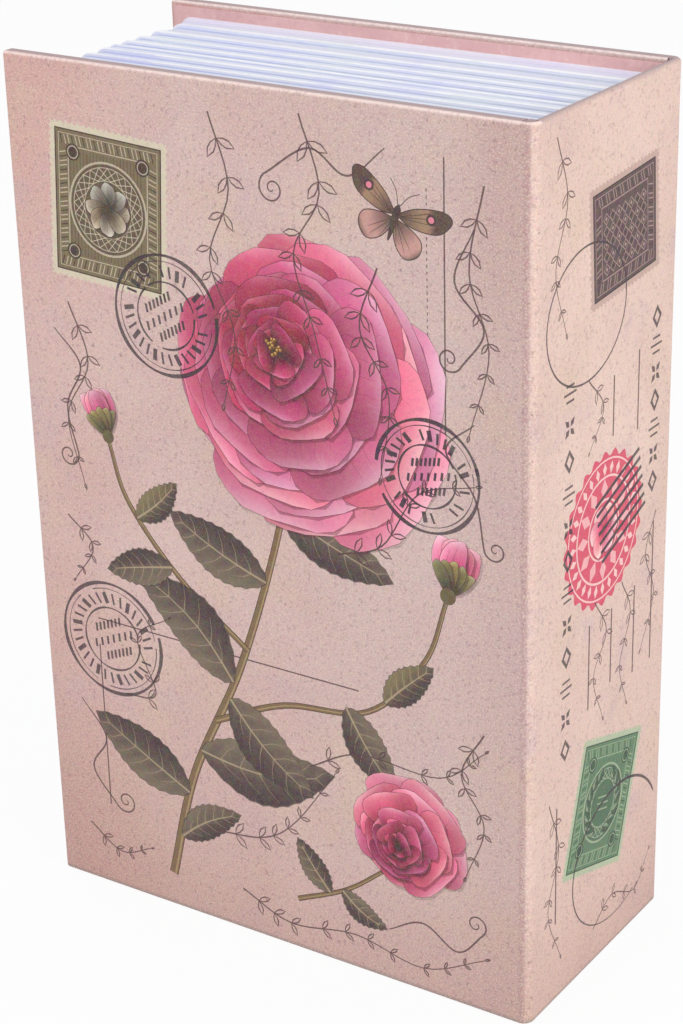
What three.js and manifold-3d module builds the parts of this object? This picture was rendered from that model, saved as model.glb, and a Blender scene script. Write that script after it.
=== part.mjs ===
// Book diversion safe: a case of paper-covered boards round a moulded page block,
// with a steel cash tray, a hinged steel lid and a cam lock inside.
//
// Millimetres. X runs from the fore-edge (low) to the spine (high), Y from the
// front cover (low) to the back cover (high), Z from the tail up to the head.
// The book stands on its tail edge, with the origin under its middle.
import * as THREE from 'three';
import { mergeVertices } from 'three/addons/utils/BufferGeometryUtils.js';
import Module from 'manifold-3d';

const wasm = await Module();
wasm.setup();

// The closed book
const bookHeight = 180;
const bookWidth = 116;
const bookDepth = 56;

// Case: boards in printed paper, with endpapers inside
const paperThick = 0.4;
const glueLine = 0.05;
const boardThick = 1.9;
const spineBoardThick = 0.7;
const endpaperThick = 0.35;
const edgeRadius = 0.7;
const jointRadius = 2.4;
const jointWidth = 3;
const stripGap = 0.3;
const turnIn = 12;
const endpaperInset = 1;
const boardEndGap = 0.4;

// Page block: one moulding, open at its back
const square = 3.6;
const coverClearance = 0.4;
const rimWidth = 9;
const spineRimWidth = 12;
const blockWall = 2;
const pocketWall = 2;
const pocketFloorThick = 2;
const pocketToBack = 4.15;
const blockCornerRadius = 2.5;
const stepDepth = 0.8;
const stepRun = 0.25;
const bossRadius = 3.2;

// The steps of the moulding from the back cover to the front, as shares of its
// depth, and how deep each one starts, as shares of the deepest step
const stepWidthShares = [0.097, 0.148, 0.11, 0.09, 0.079, 0.073, 0.1, 0.096, 0.102, 0.105];
const stepDepthShares = [0.15, 1, 0.9, 0.7, 0.9, 0.4, 1, 0.8, 0.7, 0.7];

// Cash tray and lid: folded steel
const traySheet = 0.8;
const trayCornerRadius = 1;
const trayFloorRadius = 0.8;
const traySeatGap = 0.1;
const traySpineClearance = 0.9;
const lidSheet = 1;
const lidRecess = 2.4;
const lidClearance = 0.6;
const lidOverTray = 0.5;
const lidSeatGap = 0.3;
const lidSkirt = 6;

// Lid hinge: two leaves with knuckles on one pin
const hingeLength = 110;
const knuckleCount = 5;
const knuckleGap = 0.3;
const pinRadius = 1;
const pinClearance = 0.1;
const leafSheet = 0.8;
const leafReach = 14;
const notchClearance = 0.4;
const pinHeadRadius = 1.6;
const pinHeadThick = 0.8;
const pinEndLength = 0.9;

// Rivets and screws
const rivetRadius = 1;
const rivetHoleClearance = 0.1;
const rivetHeadRadius = 1.9;
const rivetHeadHeight = 0.7;
const rivetTailRadius = 1.6;
const rivetTailHeight = 0.4;
const rivetCount = 3;
const rivetInset = 15;
const screwRadius = 1.45;
const screwClearance = 0.1;
const screwHeadRadius = 2.8;
const screwHeadHeight = 1.8;
const screwCrown = 0.6;
const screwLength = 4;
const screwInset = 16;
const recessWidth = 0.8;
const recessSpan = 2.8;
const recessDepth = 0.9;

// Cam lock
const lockFromWall = 13.5;
const bezelRadius = 7.5;
const bezelThick = 1.4;
const bezelBevel = 0.5;
const housingRadius = 5.9;
const housingFlat = 5.2;
const housingLength = 12;
const lockHoleClearance = 0.1;
const nutFlat = 7.2;
const nutThick = 2.5;
const plugRadius = 3.5;
const plugClearance = 0.1;
const plugHeadRadius = 4.3;
const plugHeadThick = 0.9;
const plugRearReach = 0.2;
const tenonSide = 4.4;
const tenonLength = 1.6;
const keywayWidth = 1;
const keywayHeight = 5.6;
const keywayDepth = 9.4;
const waferCount = 4;
const waferPitch = 1.7;
const waferStart = 1.9;
const waferThick = 0.6;
const waferWidth = 2.6;
const waferClearance = 0.1;
const waferWindowMargin = 0.6;
const camThick = 1.5;
const camHubRadius = 4.2;
const camTipRadius = 2.6;
const camReach = 12.2;
const camGap = 0.05;
const washerRadius = 3.4;
const washerThick = 0.6;
const camScrewRadius = 1.4;
const camScrewLength = 4.6;
const camScrewHeadRadius = 2.7;
const camScrewHeadHeight = 1.6;

// Lock keeper
const keeperSheet = 1.2;
const keeperLength = 18;
const keeperLeg = 8.4;
const keeperLip = 4.4;
const keeperRivetSpan = 10;
const camRunningGap = 0.35;

// One length that cutting shapes run past what they cut
const overrun = 1;

// How finely round forms are cut into flats
const roundSides = 32;
const smallSides = 16;
const cornerSteps = 4;
const domeSteps = 3;

// Places that follow from the sizes above
const wrappedThick = 2 * paperThick + 2 * glueLine + boardThick;
const coverThick = wrappedThick + glueLine + endpaperThick;
const spineThick = 2 * paperThick + 2 * glueLine + spineBoardThick;
const foreEdge = -bookWidth / 2;
const spineFace = bookWidth / 2;
const frontFace = -bookDepth / 2;
const backFace = bookDepth / 2;
const coverEnd = spineFace - jointWidth;
const cornerX = spineFace - jointRadius;
const cornerY = backFace - jointRadius;
const middleZ = bookHeight / 2;

const blockFront = frontFace + coverThick + coverClearance;
const blockBack = backFace - coverThick - glueLine;
const blockFore = foreEdge + square;
const blockSpine = spineFace - spineThick - glueLine;
const blockFoot = square;
const blockHead = bookHeight - square;

const pocketFore = blockFore + rimWidth;
const pocketSpine = blockSpine - spineRimWidth;
const pocketFoot = blockFoot + rimWidth;
const pocketHead = blockHead - rimWidth;
const pocketFloor = blockBack - pocketToBack;

const lidFront = blockFront + lidRecess;
const lidBack = lidFront + lidSheet;
const lidFore = pocketFore + lidClearance;
const lidFoot = pocketFoot + lidClearance;
const lidHead = pocketHead - lidClearance;

const lidToTray = lidSheet + lidOverTray;
const trayFore = lidFore + lidToTray;
const trayFoot = lidFoot + lidToTray;
const trayHead = lidHead - lidToTray;
const traySpine = pocketSpine - traySpineClearance;
const trayFront = lidBack + lidSeatGap;
const trayBack = pocketFloor - traySeatGap;
const trayFloor = trayBack - traySheet;

const knuckleBore = pinRadius + pinClearance;
const knuckleRadius = knuckleBore + leafSheet;
const trayLeafOuter = traySpine - traySheet - glueLine;
const pinX = trayLeafOuter - knuckleRadius;
const pinY = lidBack + glueLine + leafSheet - knuckleRadius;
const notchEdge = knuckleRadius + notchClearance;
const lidSpineEdge = pinX - notchEdge;
const hingeFoot = middleZ - hingeLength / 2;
const knucklePitch = hingeLength / knuckleCount;
const rivetSpan = hingeLength - 2 * rivetInset;

const lockX = trayFore + traySheet + lockFromWall;
const lockZ = middleZ;
const housingRear = lidFront + housingLength;
const camFront = housingRear + plugRearReach + camGap;

// Colours and finishes
const finishes = {
  print: { color: 0xd7b3a6, roughness: 0.62, metalness: 0 },
  endpaper: { color: 0xc99b97, roughness: 0.7, metalness: 0 },
  board: { color: 0x8f8a83, roughness: 0.9, metalness: 0 },
  pages: { color: 0xdde0f0, roughness: 0.45, metalness: 0 },
  blackSteel: { color: 0x222224, roughness: 0.5, metalness: 0.3 },
  zincSteel: { color: 0xb9bcc0, roughness: 0.35, metalness: 0.9 },
  nickel: { color: 0xcfd0cf, roughness: 0.2, metalness: 1 },
  brass: { color: 0xb99a55, roughness: 0.35, metalness: 1 },
};

const group = new THREE.Group();

// Turn an open list of triangles into a closed solid with its faces outwards
function toSolid(geometry) {
  const bare = geometry.clone();
  bare.deleteAttribute('normal');
  bare.deleteAttribute('uv');
  const merged = mergeVertices(bare);
  const places = merged.attributes.position;
  const corners = [];
  let volume = 0;
  const a = new THREE.Vector3();
  const b = new THREE.Vector3();
  const c = new THREE.Vector3();
  for (let i = 0; i < merged.index.count; i += 3) {
    const triangle = [0, 1, 2].map((step) => merged.index.getX(i + step));
    if (new Set(triangle).size === 3) {
      a.fromBufferAttribute(places, triangle[0]);
      b.fromBufferAttribute(places, triangle[1]);
      c.fromBufferAttribute(places, triangle[2]);
      volume += a.dot(b.cross(c));
      corners.push(triangle);
    }
  }
  const facing = volume < 0 ? corners.map(([p, q, r]) => [p, r, q]) : corners;
  return new wasm.Manifold(new wasm.Mesh({
    numProp: 3,
    vertProperties: new Float32Array(places.array),
    triVerts: new Uint32Array(facing.flat()),
  }));
}

function toGeometry(solid) {
  const mesh = solid.getMesh();
  const geometry = new THREE.BufferGeometry();
  geometry.setAttribute('position', new THREE.BufferAttribute(mesh.vertProperties, 3));
  geometry.setIndex(new THREE.BufferAttribute(mesh.triVerts, 1));
  geometry.computeVertexNormals();
  return geometry;
}

function joined(...solids) {
  return solids.reduce((whole, piece) => whole.add(piece));
}

function cut(solid, ...tools) {
  return tools.reduce((left, tool) => left.subtract(tool), solid);
}

// Add a piece to a parent under its own name, with its own material
function piece(name, solid, finish, parent = group) {
  const material = new THREE.MeshStandardMaterial(finishes[finish]);
  const mesh = new THREE.Mesh(toGeometry(solid), material);
  mesh.name = name;
  parent.add(mesh);
  return mesh;
}

function block(lowX, highX, lowY, highY, lowZ, highZ) {
  const geometry = new THREE.BoxGeometry(highX - lowX, highY - lowY, highZ - lowZ);
  geometry.translate((lowX + highX) / 2, (lowY + highY) / 2, (lowZ + highZ) / 2);
  return toSolid(geometry);
}

function extruded(outline, length) {
  return new THREE.ExtrudeGeometry(outline, {
    depth: length,
    bevelEnabled: false,
    curveSegments: cornerSteps,
  });
}

// An outline in (y, z), pushed along X
function prismX(outline, low, high) {
  const geometry = extruded(outline, high - low);
  const turn = new THREE.Matrix4().makeBasis(
    new THREE.Vector3(0, 1, 0),
    new THREE.Vector3(0, 0, 1),
    new THREE.Vector3(1, 0, 0),
  );
  geometry.applyMatrix4(turn);
  geometry.translate(low, 0, 0);
  return toSolid(geometry);
}

// An outline in (x, z), pushed along Y
function prismY(outline, low, high) {
  const geometry = extruded(outline, high - low);
  geometry.rotateX(Math.PI / 2);
  geometry.translate(0, high, 0);
  return toSolid(geometry);
}

// An outline in (x, y), pushed along Z
function prismZ(outline, low, high) {
  const geometry = extruded(outline, high - low);
  geometry.translate(0, 0, low);
  return toSolid(geometry);
}

// A rectangle with one radius at its two low corners and another at its high ones
function roundedOutline(lowU, highU, lowV, highV, lowRadius, highRadius) {
  const outline = new THREE.Shape();
  outline.moveTo(lowU + lowRadius, lowV);
  outline.lineTo(highU - highRadius, lowV);
  if (highRadius > 0) {
    outline.absarc(highU - highRadius, lowV + highRadius, highRadius, -Math.PI / 2, 0);
  }
  outline.lineTo(highU, highV - highRadius);
  if (highRadius > 0) {
    outline.absarc(highU - highRadius, highV - highRadius, highRadius, 0, Math.PI / 2);
  }
  outline.lineTo(lowU + lowRadius, highV);
  if (lowRadius > 0) {
    outline.absarc(lowU + lowRadius, highV - lowRadius, lowRadius, Math.PI / 2, Math.PI);
  }
  outline.lineTo(lowU, lowV + lowRadius);
  if (lowRadius > 0) {
    outline.absarc(lowU + lowRadius, lowV + lowRadius, lowRadius, Math.PI, 1.5 * Math.PI);
  }
  return outline;
}

function roundOutline(radius, sides, centreU = 0, centreV = 0) {
  const outline = new THREE.Shape();
  for (let i = 0; i < sides; i += 1) {
    const angle = (2 * Math.PI * (i + 0.5)) / sides;
    const u = centreU + radius * Math.cos(angle);
    const v = centreV + radius * Math.sin(angle);
    if (i === 0) {
      outline.moveTo(u, v);
    } else {
      outline.lineTo(u, v);
    }
  }
  return outline;
}

// A profile of (radius, height) pairs turned round the Y axis
function turned(profile, sides) {
  const points = profile.map(([radius, height]) => new THREE.Vector2(radius, height));
  return toSolid(new THREE.LatheGeometry(points, sides));
}

// Closed sections of equal point count, each at its own depth along Y
function loftedY(sections) {
  const count = sections[0].points.length;
  const places = [];
  const corners = [];
  for (const section of sections) {
    for (const [x, z] of section.points) {
      places.push(x, section.y, z);
    }
  }
  for (let s = 0; s + 1 < sections.length; s += 1) {
    for (let i = 0; i < count; i += 1) {
      const next = (i + 1) % count;
      const here = s * count;
      const there = here + count;
      corners.push(here + i, here + next, there + i);
      corners.push(there + i, here + next, there + next);
    }
  }
  const flat = sections[0].points.map(([x, z]) => new THREE.Vector2(x, z));
  const last = (sections.length - 1) * count;
  for (const [p, q, r] of THREE.ShapeUtils.triangulateShape(flat, [])) {
    corners.push(p, r, q);
    corners.push(last + p, last + q, last + r);
  }
  const geometry = new THREE.BufferGeometry();
  geometry.setAttribute('position', new THREE.Float32BufferAttribute(places, 3));
  geometry.setIndex(corners);
  return toSolid(geometry);
}

// A board covered in paper: the paper's outer skin, its edges and the turn-in
// on the inner side. The side towards the spine stays open at the joint.
function wrappedBoard(highX, outerY, inward) {
  const innerY = outerY + inward * wrappedThick;
  const lowY = Math.min(outerY, innerY);
  const highY = Math.max(outerY, innerY);
  const ends = roundedOutline(lowY, highY, 0, bookHeight, edgeRadius, edgeRadius);
  const plan = roundedOutline(foreEdge, highX, lowY, highY, edgeRadius, 0);
  const body = prismX(ends, foreEdge, highX).intersect(prismZ(plan, 0, bookHeight));
  const cavity = block(
    foreEdge + paperThick,
    highX + overrun,
    lowY + paperThick,
    highY - paperThick,
    paperThick,
    bookHeight - paperThick,
  );
  const windowEdge = innerY - inward * paperThick;
  const window = block(
    foreEdge + turnIn,
    highX + overrun,
    Math.min(windowEdge - inward * glueLine, innerY + inward * overrun),
    Math.max(windowEdge - inward * glueLine, innerY + inward * overrun),
    turnIn,
    bookHeight - turnIn,
  );
  return cut(body, cavity, window);
}

function coverBoard(outerY, inward) {
  const near = outerY + inward * (paperThick + glueLine);
  const far = near + inward * boardThick;
  return block(
    foreEdge + paperThick + glueLine,
    coverEnd - boardEndGap,
    Math.min(near, far),
    Math.max(near, far),
    paperThick + glueLine,
    bookHeight - paperThick - glueLine,
  );
}

function endpaper(outerY, inward, highX) {
  const near = outerY + inward * (wrappedThick + glueLine);
  const far = near + inward * endpaperThick;
  return block(
    foreEdge + endpaperInset,
    highX,
    Math.min(near, far),
    Math.max(near, far),
    endpaperInset,
    bookHeight - endpaperInset,
  );
}

// The paper's round corner where a cover meets the spine, closed at head and
// tail by the folded turn-in. towards is -1 at the front and 1 at the back.
function paperCorner(towards, flatLength) {
  const centreY = towards * cornerY;
  const start = towards > 0 ? 0 : -Math.PI / 2;
  const end = towards > 0 ? Math.PI / 2 : 0;
  const outside = new THREE.Shape();
  outside.moveTo(cornerX, centreY);
  outside.absarc(cornerX, centreY, jointRadius, start, end);
  outside.lineTo(cornerX, centreY);
  const inside = new THREE.Shape();
  const innerRadius = jointRadius - paperThick;
  inside.moveTo(cornerX, centreY);
  inside.absarc(cornerX, centreY, innerRadius, start, end);
  inside.lineTo(cornerX, centreY);
  const outer = towards * backFace;
  const inner = outer - towards * paperThick;
  const flat = block(
    cornerX - flatLength,
    cornerX + glueLine,
    Math.min(outer, inner),
    Math.max(outer, inner),
    0,
    bookHeight,
  );
  const round = prismZ(outside, 0, bookHeight);
  const hollow = prismZ(inside, paperThick, bookHeight - paperThick);
  return joined(round.subtract(hollow), flat);
}

// Spine: paper over a thin board, turned in at head and tail only
function wrappedSpine() {
  const innerX = spineFace - spineThick;
  const lowY = glueLine - cornerY;
  const outline = roundedOutline(innerX, spineFace, 0, bookHeight, edgeRadius, edgeRadius);
  const body = prismY(outline, lowY, cornerY + glueLine);
  const cavity = block(
    innerX + paperThick,
    spineFace - paperThick,
    lowY - overrun,
    cornerY + overrun,
    paperThick,
    bookHeight - paperThick,
  );
  const window = block(
    innerX - overrun,
    innerX + paperThick + glueLine,
    lowY - overrun,
    cornerY + overrun,
    turnIn,
    bookHeight - turnIn,
  );
  return cut(body, cavity, window);
}

function buildCase() {
  piece('front_cover_board', coverBoard(frontFace, 1), 'board');
  piece('front_cover_wrap', wrappedBoard(coverEnd, frontFace, 1), 'print');
  piece('front_endpaper', endpaper(frontFace, 1, coverEnd - boardEndGap), 'endpaper');

  const stripFlat = cornerX - coverEnd - stripGap;
  piece('joint_strip', paperCorner(-1, stripFlat), 'print');

  const spineBoard = block(
    spineFace - paperThick - glueLine - spineBoardThick,
    spineFace - paperThick - glueLine,
    boardEndGap - cornerY,
    cornerY - boardEndGap,
    paperThick + glueLine,
    bookHeight - paperThick - glueLine,
  );
  piece('spine_board', spineBoard, 'board');
  piece('back_cover_board', coverBoard(backFace, -1), 'board');
  const backWrap = wrappedBoard(cornerX + glueLine, backFace, -1);
  piece('case_wrap', joined(backWrap, paperCorner(1, 0), wrappedSpine()), 'print');
  piece('back_endpaper', endpaper(backFace, -1, blockSpine), 'endpaper');
}

// One closed outline of the page block in (x, z): straight along the spine,
// with round corners at the fore-edge
function pageOutline(inset) {
  const radius = blockCornerRadius;
  const lowX = blockFore + inset;
  const lowZ = blockFoot + inset;
  const highZ = blockHead - inset;
  const points = [[blockSpine, highZ]];
  for (let i = 0; i <= cornerSteps; i += 1) {
    const angle = Math.PI / 2 + (Math.PI / 2) * (i / cornerSteps);
    points.push([
      lowX + radius + radius * Math.cos(angle),
      highZ - radius + radius * Math.sin(angle),
    ]);
  }
  for (let i = 0; i <= cornerSteps; i += 1) {
    const angle = Math.PI + (Math.PI / 2) * (i / cornerSteps);
    points.push([
      lowX + radius + radius * Math.cos(angle),
      lowZ + radius + radius * Math.sin(angle),
    ]);
  }
  points.push([blockSpine, lowZ]);
  return points;
}

// The stepped outside of the page block, like gathered sheets of paper: each
// band rises from its foot at the back to a ridge at the front, then drops
function steppedPages() {
  const depth = blockBack - blockFront;
  const sections = [];
  let y = blockBack;
  stepWidthShares.forEach((widthShare, band) => {
    const footY = band === 0 ? blockBack : y - stepRun;
    sections.push({ y: footY, points: pageOutline(stepDepth * stepDepthShares[band]) });
    y -= depth * widthShare;
    const isFront = band === stepWidthShares.length - 1;
    sections.push({ y: isFront ? blockFront : y, points: pageOutline(0) });
  });
  return loftedY(sections);
}

function screwPlaces() {
  const places = [];
  for (const x of [trayFore + screwInset, traySpine - screwInset]) {
    for (const z of [trayFoot + screwInset, trayHead - screwInset]) {
      places.push([x, z]);
    }
  }
  return places;
}

function buildPageBlock() {
  const pocketRadius = trayCornerRadius + lidToTray + lidClearance;
  const pocket = roundedOutline(
    pocketFore,
    pocketSpine,
    pocketFoot,
    pocketHead,
    pocketRadius,
    pocketRadius,
  );
  const shellEdge = stepDepth + blockWall;
  const shellOuter = roundedOutline(
    blockFore + shellEdge,
    blockSpine - blockWall,
    blockFoot + shellEdge,
    blockHead - shellEdge,
    blockCornerRadius,
    0,
  );
  const pocketSkin = roundedOutline(
    pocketFore - pocketWall,
    pocketSpine + pocketWall,
    pocketFoot - pocketWall,
    pocketHead + pocketWall,
    pocketRadius + pocketWall,
    pocketRadius + pocketWall,
  );
  const floorBack = pocketFloor + pocketFloorThick;
  const behind = prismY(shellOuter, floorBack, blockBack + overrun);
  const around = prismY(shellOuter, blockFront + blockWall, blockBack + overrun);
  const keptCore = prismY(pocketSkin, blockFront, floorBack);
  const hollow = joined(around.subtract(keptCore), behind);
  const bosses = screwPlaces().map(([x, z]) => prismY(
    roundOutline(bossRadius, smallSides, x, z),
    pocketFloor,
    blockBack,
  ));
  const holes = screwPlaces().map(([x, z]) => prismY(
    roundOutline(screwRadius + screwClearance, smallSides, x, z),
    pocketFloor - overrun,
    blockBack - glueLine,
  ));
  const shell = cut(steppedPages(), hollow);
  const moulding = cut(
    joined(shell, ...bosses),
    prismY(pocket, blockFront - overrun, pocketFloor),
    ...holes,
  );
  piece('page_block', moulding, 'pages');
}

// The folded steel tray: drawn outside and inside as rounded boxes, with the
// fold round the floor, and holes for its screws and rivets
function trayShell() {
  const section = (inset, y) => {
    const outline = roundedOutline(
      trayFore + inset,
      traySpine - inset,
      trayFoot + inset,
      trayHead - inset,
      trayCornerRadius,
      trayCornerRadius,
    );
    return { y, points: outline.extractPoints(cornerSteps).shape.map((p) => [p.x, p.y]) };
  };
  const outer = loftedY([
    section(0, trayFront),
    section(0, trayBack - trayFloorRadius),
    section(trayFloorRadius / 3, trayBack - trayFloorRadius / 3),
    section(trayFloorRadius, trayBack),
  ]);
  const inner = roundedOutline(
    trayFore + traySheet,
    traySpine - traySheet,
    trayFoot + traySheet,
    trayHead - traySheet,
    trayCornerRadius / 2,
    trayCornerRadius / 2,
  );
  return outer.subtract(prismY(inner, trayFront - overrun, trayFloor));
}

function rivetHeights(span, count) {
  const heights = [];
  for (let i = 0; i < count; i += 1) {
    heights.push(middleZ - span / 2 + (span * i) / (count - 1));
  }
  return heights;
}

function holeX(radius, low, high, y, z) {
  return prismX(roundOutline(radius, smallSides, y, z), low, high);
}

function holeY(radius, low, high, x, z) {
  return prismY(roundOutline(radius, smallSides, x, z), low, high);
}

const rivetHole = rivetRadius + rivetHoleClearance;
const trayRivetY = pinY + leafReach / 2;
const lidRivetX = pinX - (leafReach * 2) / 3;
const keeperBack = camFront - camRunningGap;
const keeperFront = keeperBack - keeperLeg;
const keeperRivetY = keeperFront + (keeperLeg - keeperSheet) / 2;

function buildTray() {
  const screwHoles = screwPlaces().map(([x, z]) => holeY(
    screwRadius + screwClearance,
    trayFloor - overrun,
    trayBack + overrun,
    x,
    z,
  ));
  const leafHoles = rivetHeights(rivetSpan, rivetCount).map((z) => holeX(
    rivetHole,
    traySpine - traySheet - overrun,
    traySpine + overrun,
    trayRivetY,
    z,
  ));
  const keeperHoles = rivetHeights(keeperRivetSpan, 2).map((z) => holeX(
    rivetHole,
    trayFore - overrun,
    trayFore + traySheet + overrun,
    keeperRivetY,
    z,
  ));
  piece('cash_tray', cut(trayShell(), ...screwHoles, ...leafHoles, ...keeperHoles), 'blackSteel');
}

// A pan head screw, its head to -Y and its shank to +Y, with a cross recess
function panScrew(headRadius, headHeight, shankRadius, length) {
  const profile = [[0, length], [shankRadius, length], [shankRadius, 0], [headRadius, 0]];
  for (let i = 0; i <= domeSteps; i += 1) {
    const angle = (Math.PI / 2) * (i / domeSteps);
    profile.push([
      (headRadius - screwCrown) + screwCrown * Math.cos(angle),
      screwCrown - headHeight - screwCrown * Math.sin(angle),
    ]);
  }
  profile.push([0, -headHeight]);
  const across = recessSpan / 2;
  const wide = recessWidth / 2;
  const low = -headHeight - overrun;
  const high = recessDepth - headHeight;
  return cut(
    turned(profile, smallSides),
    block(-across, across, low, high, -wide, wide),
    block(-wide, wide, low, high, -across, across),
  );
}

// A rivet set in two sheets: a domed head to -Y and a flat tail to +Y
function rivet(grip) {
  const profile = [[0, grip + rivetTailHeight], [rivetTailRadius, grip + rivetTailHeight]];
  profile.push([rivetTailRadius, grip], [rivetRadius, grip], [rivetRadius, 0]);
  for (let i = 0; i <= domeSteps; i += 1) {
    const angle = (Math.PI / 2) * (i / domeSteps);
    profile.push([rivetHeadRadius * Math.cos(angle), -rivetHeadHeight * Math.sin(angle)]);
  }
  return turned(profile, smallSides);
}

function buildTrayScrews() {
  const screw = panScrew(screwHeadRadius, screwHeadHeight, screwRadius, screwLength);
  screwPlaces().forEach(([x, z], i) => {
    const mesh = piece(`tray_screw_${i + 1}`, screw, 'zincSteel');
    mesh.position.set(x, trayFloor - glueLine, z);
  });
}

// Knuckles of one leaf: those of the tray have even places, those of the lid odd
function knuckleSpans(first) {
  const spans = [];
  for (let i = first; i < knuckleCount; i += 2) {
    const low = hingeFoot + i * knucklePitch + (i === 0 ? 0 : knuckleGap / 2);
    const high = hingeFoot + (i + 1) * knucklePitch - (i === knuckleCount - 1 ? 0 : knuckleGap / 2);
    spans.push([low, high]);
  }
  return spans;
}

function knuckles(first) {
  return knuckleSpans(first).map(([low, high]) => cut(
    prismZ(roundOutline(knuckleRadius, roundSides, pinX, pinY), low, high),
    prismZ(roundOutline(knuckleBore, roundSides, pinX, pinY), low - overrun, high + overrun),
  ));
}

// Room in one leaf for the other leaf's knuckles
function notches(first) {
  return knuckleSpans(first).map(([low, high]) => block(
    pinX - notchEdge,
    pinX + notchEdge,
    pinY - notchEdge,
    pinY + notchEdge,
    low - knuckleGap,
    high + knuckleGap,
  ));
}

function buildHinge() {
  const bore = prismZ(
    roundOutline(knuckleBore, roundSides, pinX, pinY),
    hingeFoot - overrun,
    hingeFoot + hingeLength + overrun,
  );
  const trayLeaf = block(
    trayLeafOuter - leafSheet,
    trayLeafOuter,
    pinY,
    pinY + leafReach,
    hingeFoot,
    hingeFoot + hingeLength,
  );
  const trayHoles = rivetHeights(rivetSpan, rivetCount).map((z) => holeX(
    rivetHole,
    trayLeafOuter - leafSheet - overrun,
    trayLeafOuter + overrun,
    trayRivetY,
    z,
  ));
  const traySide = joined(cut(trayLeaf, ...notches(1)), ...knuckles(0));
  piece('tray_hinge_leaf', cut(traySide, bore, ...trayHoles), 'zincSteel');

  const lidLeafFront = lidBack + glueLine;
  const lidLeaf = block(
    pinX - leafReach,
    pinX,
    lidLeafFront,
    lidLeafFront + leafSheet,
    hingeFoot,
    hingeFoot + hingeLength,
  );
  const lidHoles = rivetHeights(rivetSpan, rivetCount).map((z) => holeY(
    rivetHole,
    lidLeafFront - overrun,
    lidLeafFront + leafSheet + overrun,
    lidRivetX,
    z,
  ));
  const lidSide = joined(cut(lidLeaf, ...notches(0)), ...knuckles(1));
  piece('lid_hinge_leaf', cut(lidSide, bore, ...lidHoles), 'zincSteel');

  const foot = hingeFoot - pinEndLength;
  const head = hingeFoot + hingeLength + glueLine;
  const pin = joined(
    prismZ(roundOutline(pinRadius, roundSides, pinX, pinY), foot, head + pinHeadThick / 2),
    prismZ(roundOutline(pinHeadRadius, roundSides, pinX, pinY), head, head + pinHeadThick),
  );
  piece('hinge_pin', pin, 'zincSteel');
}

// Set rivets along the height: their heads on the given plane, turned to face
// the given way round Z
function buildRivets(name, heights, grip, x, y, turn) {
  const shape = rivet(grip);
  heights.forEach((z, i) => {
    const mesh = piece(`${name}_${i + 1}`, shape, 'zincSteel');
    mesh.position.set(x, y, z);
    mesh.rotation.z = turn;
  });
}

// The lid: a steel panel folded over at fore-edge, head and tail
function buildLid() {
  const outerRadius = trayCornerRadius + lidToTray;
  const outer = roundedOutline(lidFore, lidSpineEdge, lidFoot, lidHead, outerRadius, 0);
  const inner = roundedOutline(
    lidFore + lidSheet,
    lidSpineEdge + overrun,
    lidFoot + lidSheet,
    lidHead - lidSheet,
    outerRadius - lidSheet,
    0,
  );
  const flat = housingFlat + lockHoleClearance;
  const hole = prismY(
    roundOutline(housingRadius + lockHoleClearance, roundSides, lockX, lockZ),
    lidFront - overrun,
    lidBack + overrun,
  );
  const between = block(
    lockX - housingRadius - overrun,
    lockX + housingRadius + overrun,
    lidFront - overrun,
    lidBack + overrun,
    lockZ - flat,
    lockZ + flat,
  );
  const leafHoles = rivetHeights(rivetSpan, rivetCount).map((z) => holeY(
    rivetHole,
    lidFront - overrun,
    lidBack + overrun,
    lidRivetX,
    z,
  ));
  const panel = cut(
    prismY(outer, lidFront, lidFront + lidSkirt),
    prismY(inner, lidBack, lidFront + lidSkirt + overrun),
    hole.intersect(between),
    ...leafHoles,
  );
  piece('lid', panel, 'blackSteel');
}

// The keeper: a folded lip on the tray wall that the turned cam goes behind
function buildKeeper() {
  const wall = trayFore + traySheet + glueLine;
  const low = lockZ - keeperLength / 2;
  const high = lockZ + keeperLength / 2;
  const leg = block(wall, wall + keeperSheet, keeperFront, keeperBack, low, high);
  const lip = block(wall, wall + keeperLip, keeperBack - keeperSheet, keeperBack, low, high);
  const holes = rivetHeights(keeperRivetSpan, 2).map((z) => holeX(
    rivetHole,
    wall - overrun,
    wall + keeperSheet + overrun,
    keeperRivetY,
    z,
  ));
  piece('lock_keeper', cut(joined(leg, lip), ...holes), 'zincSteel');
}

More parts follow.
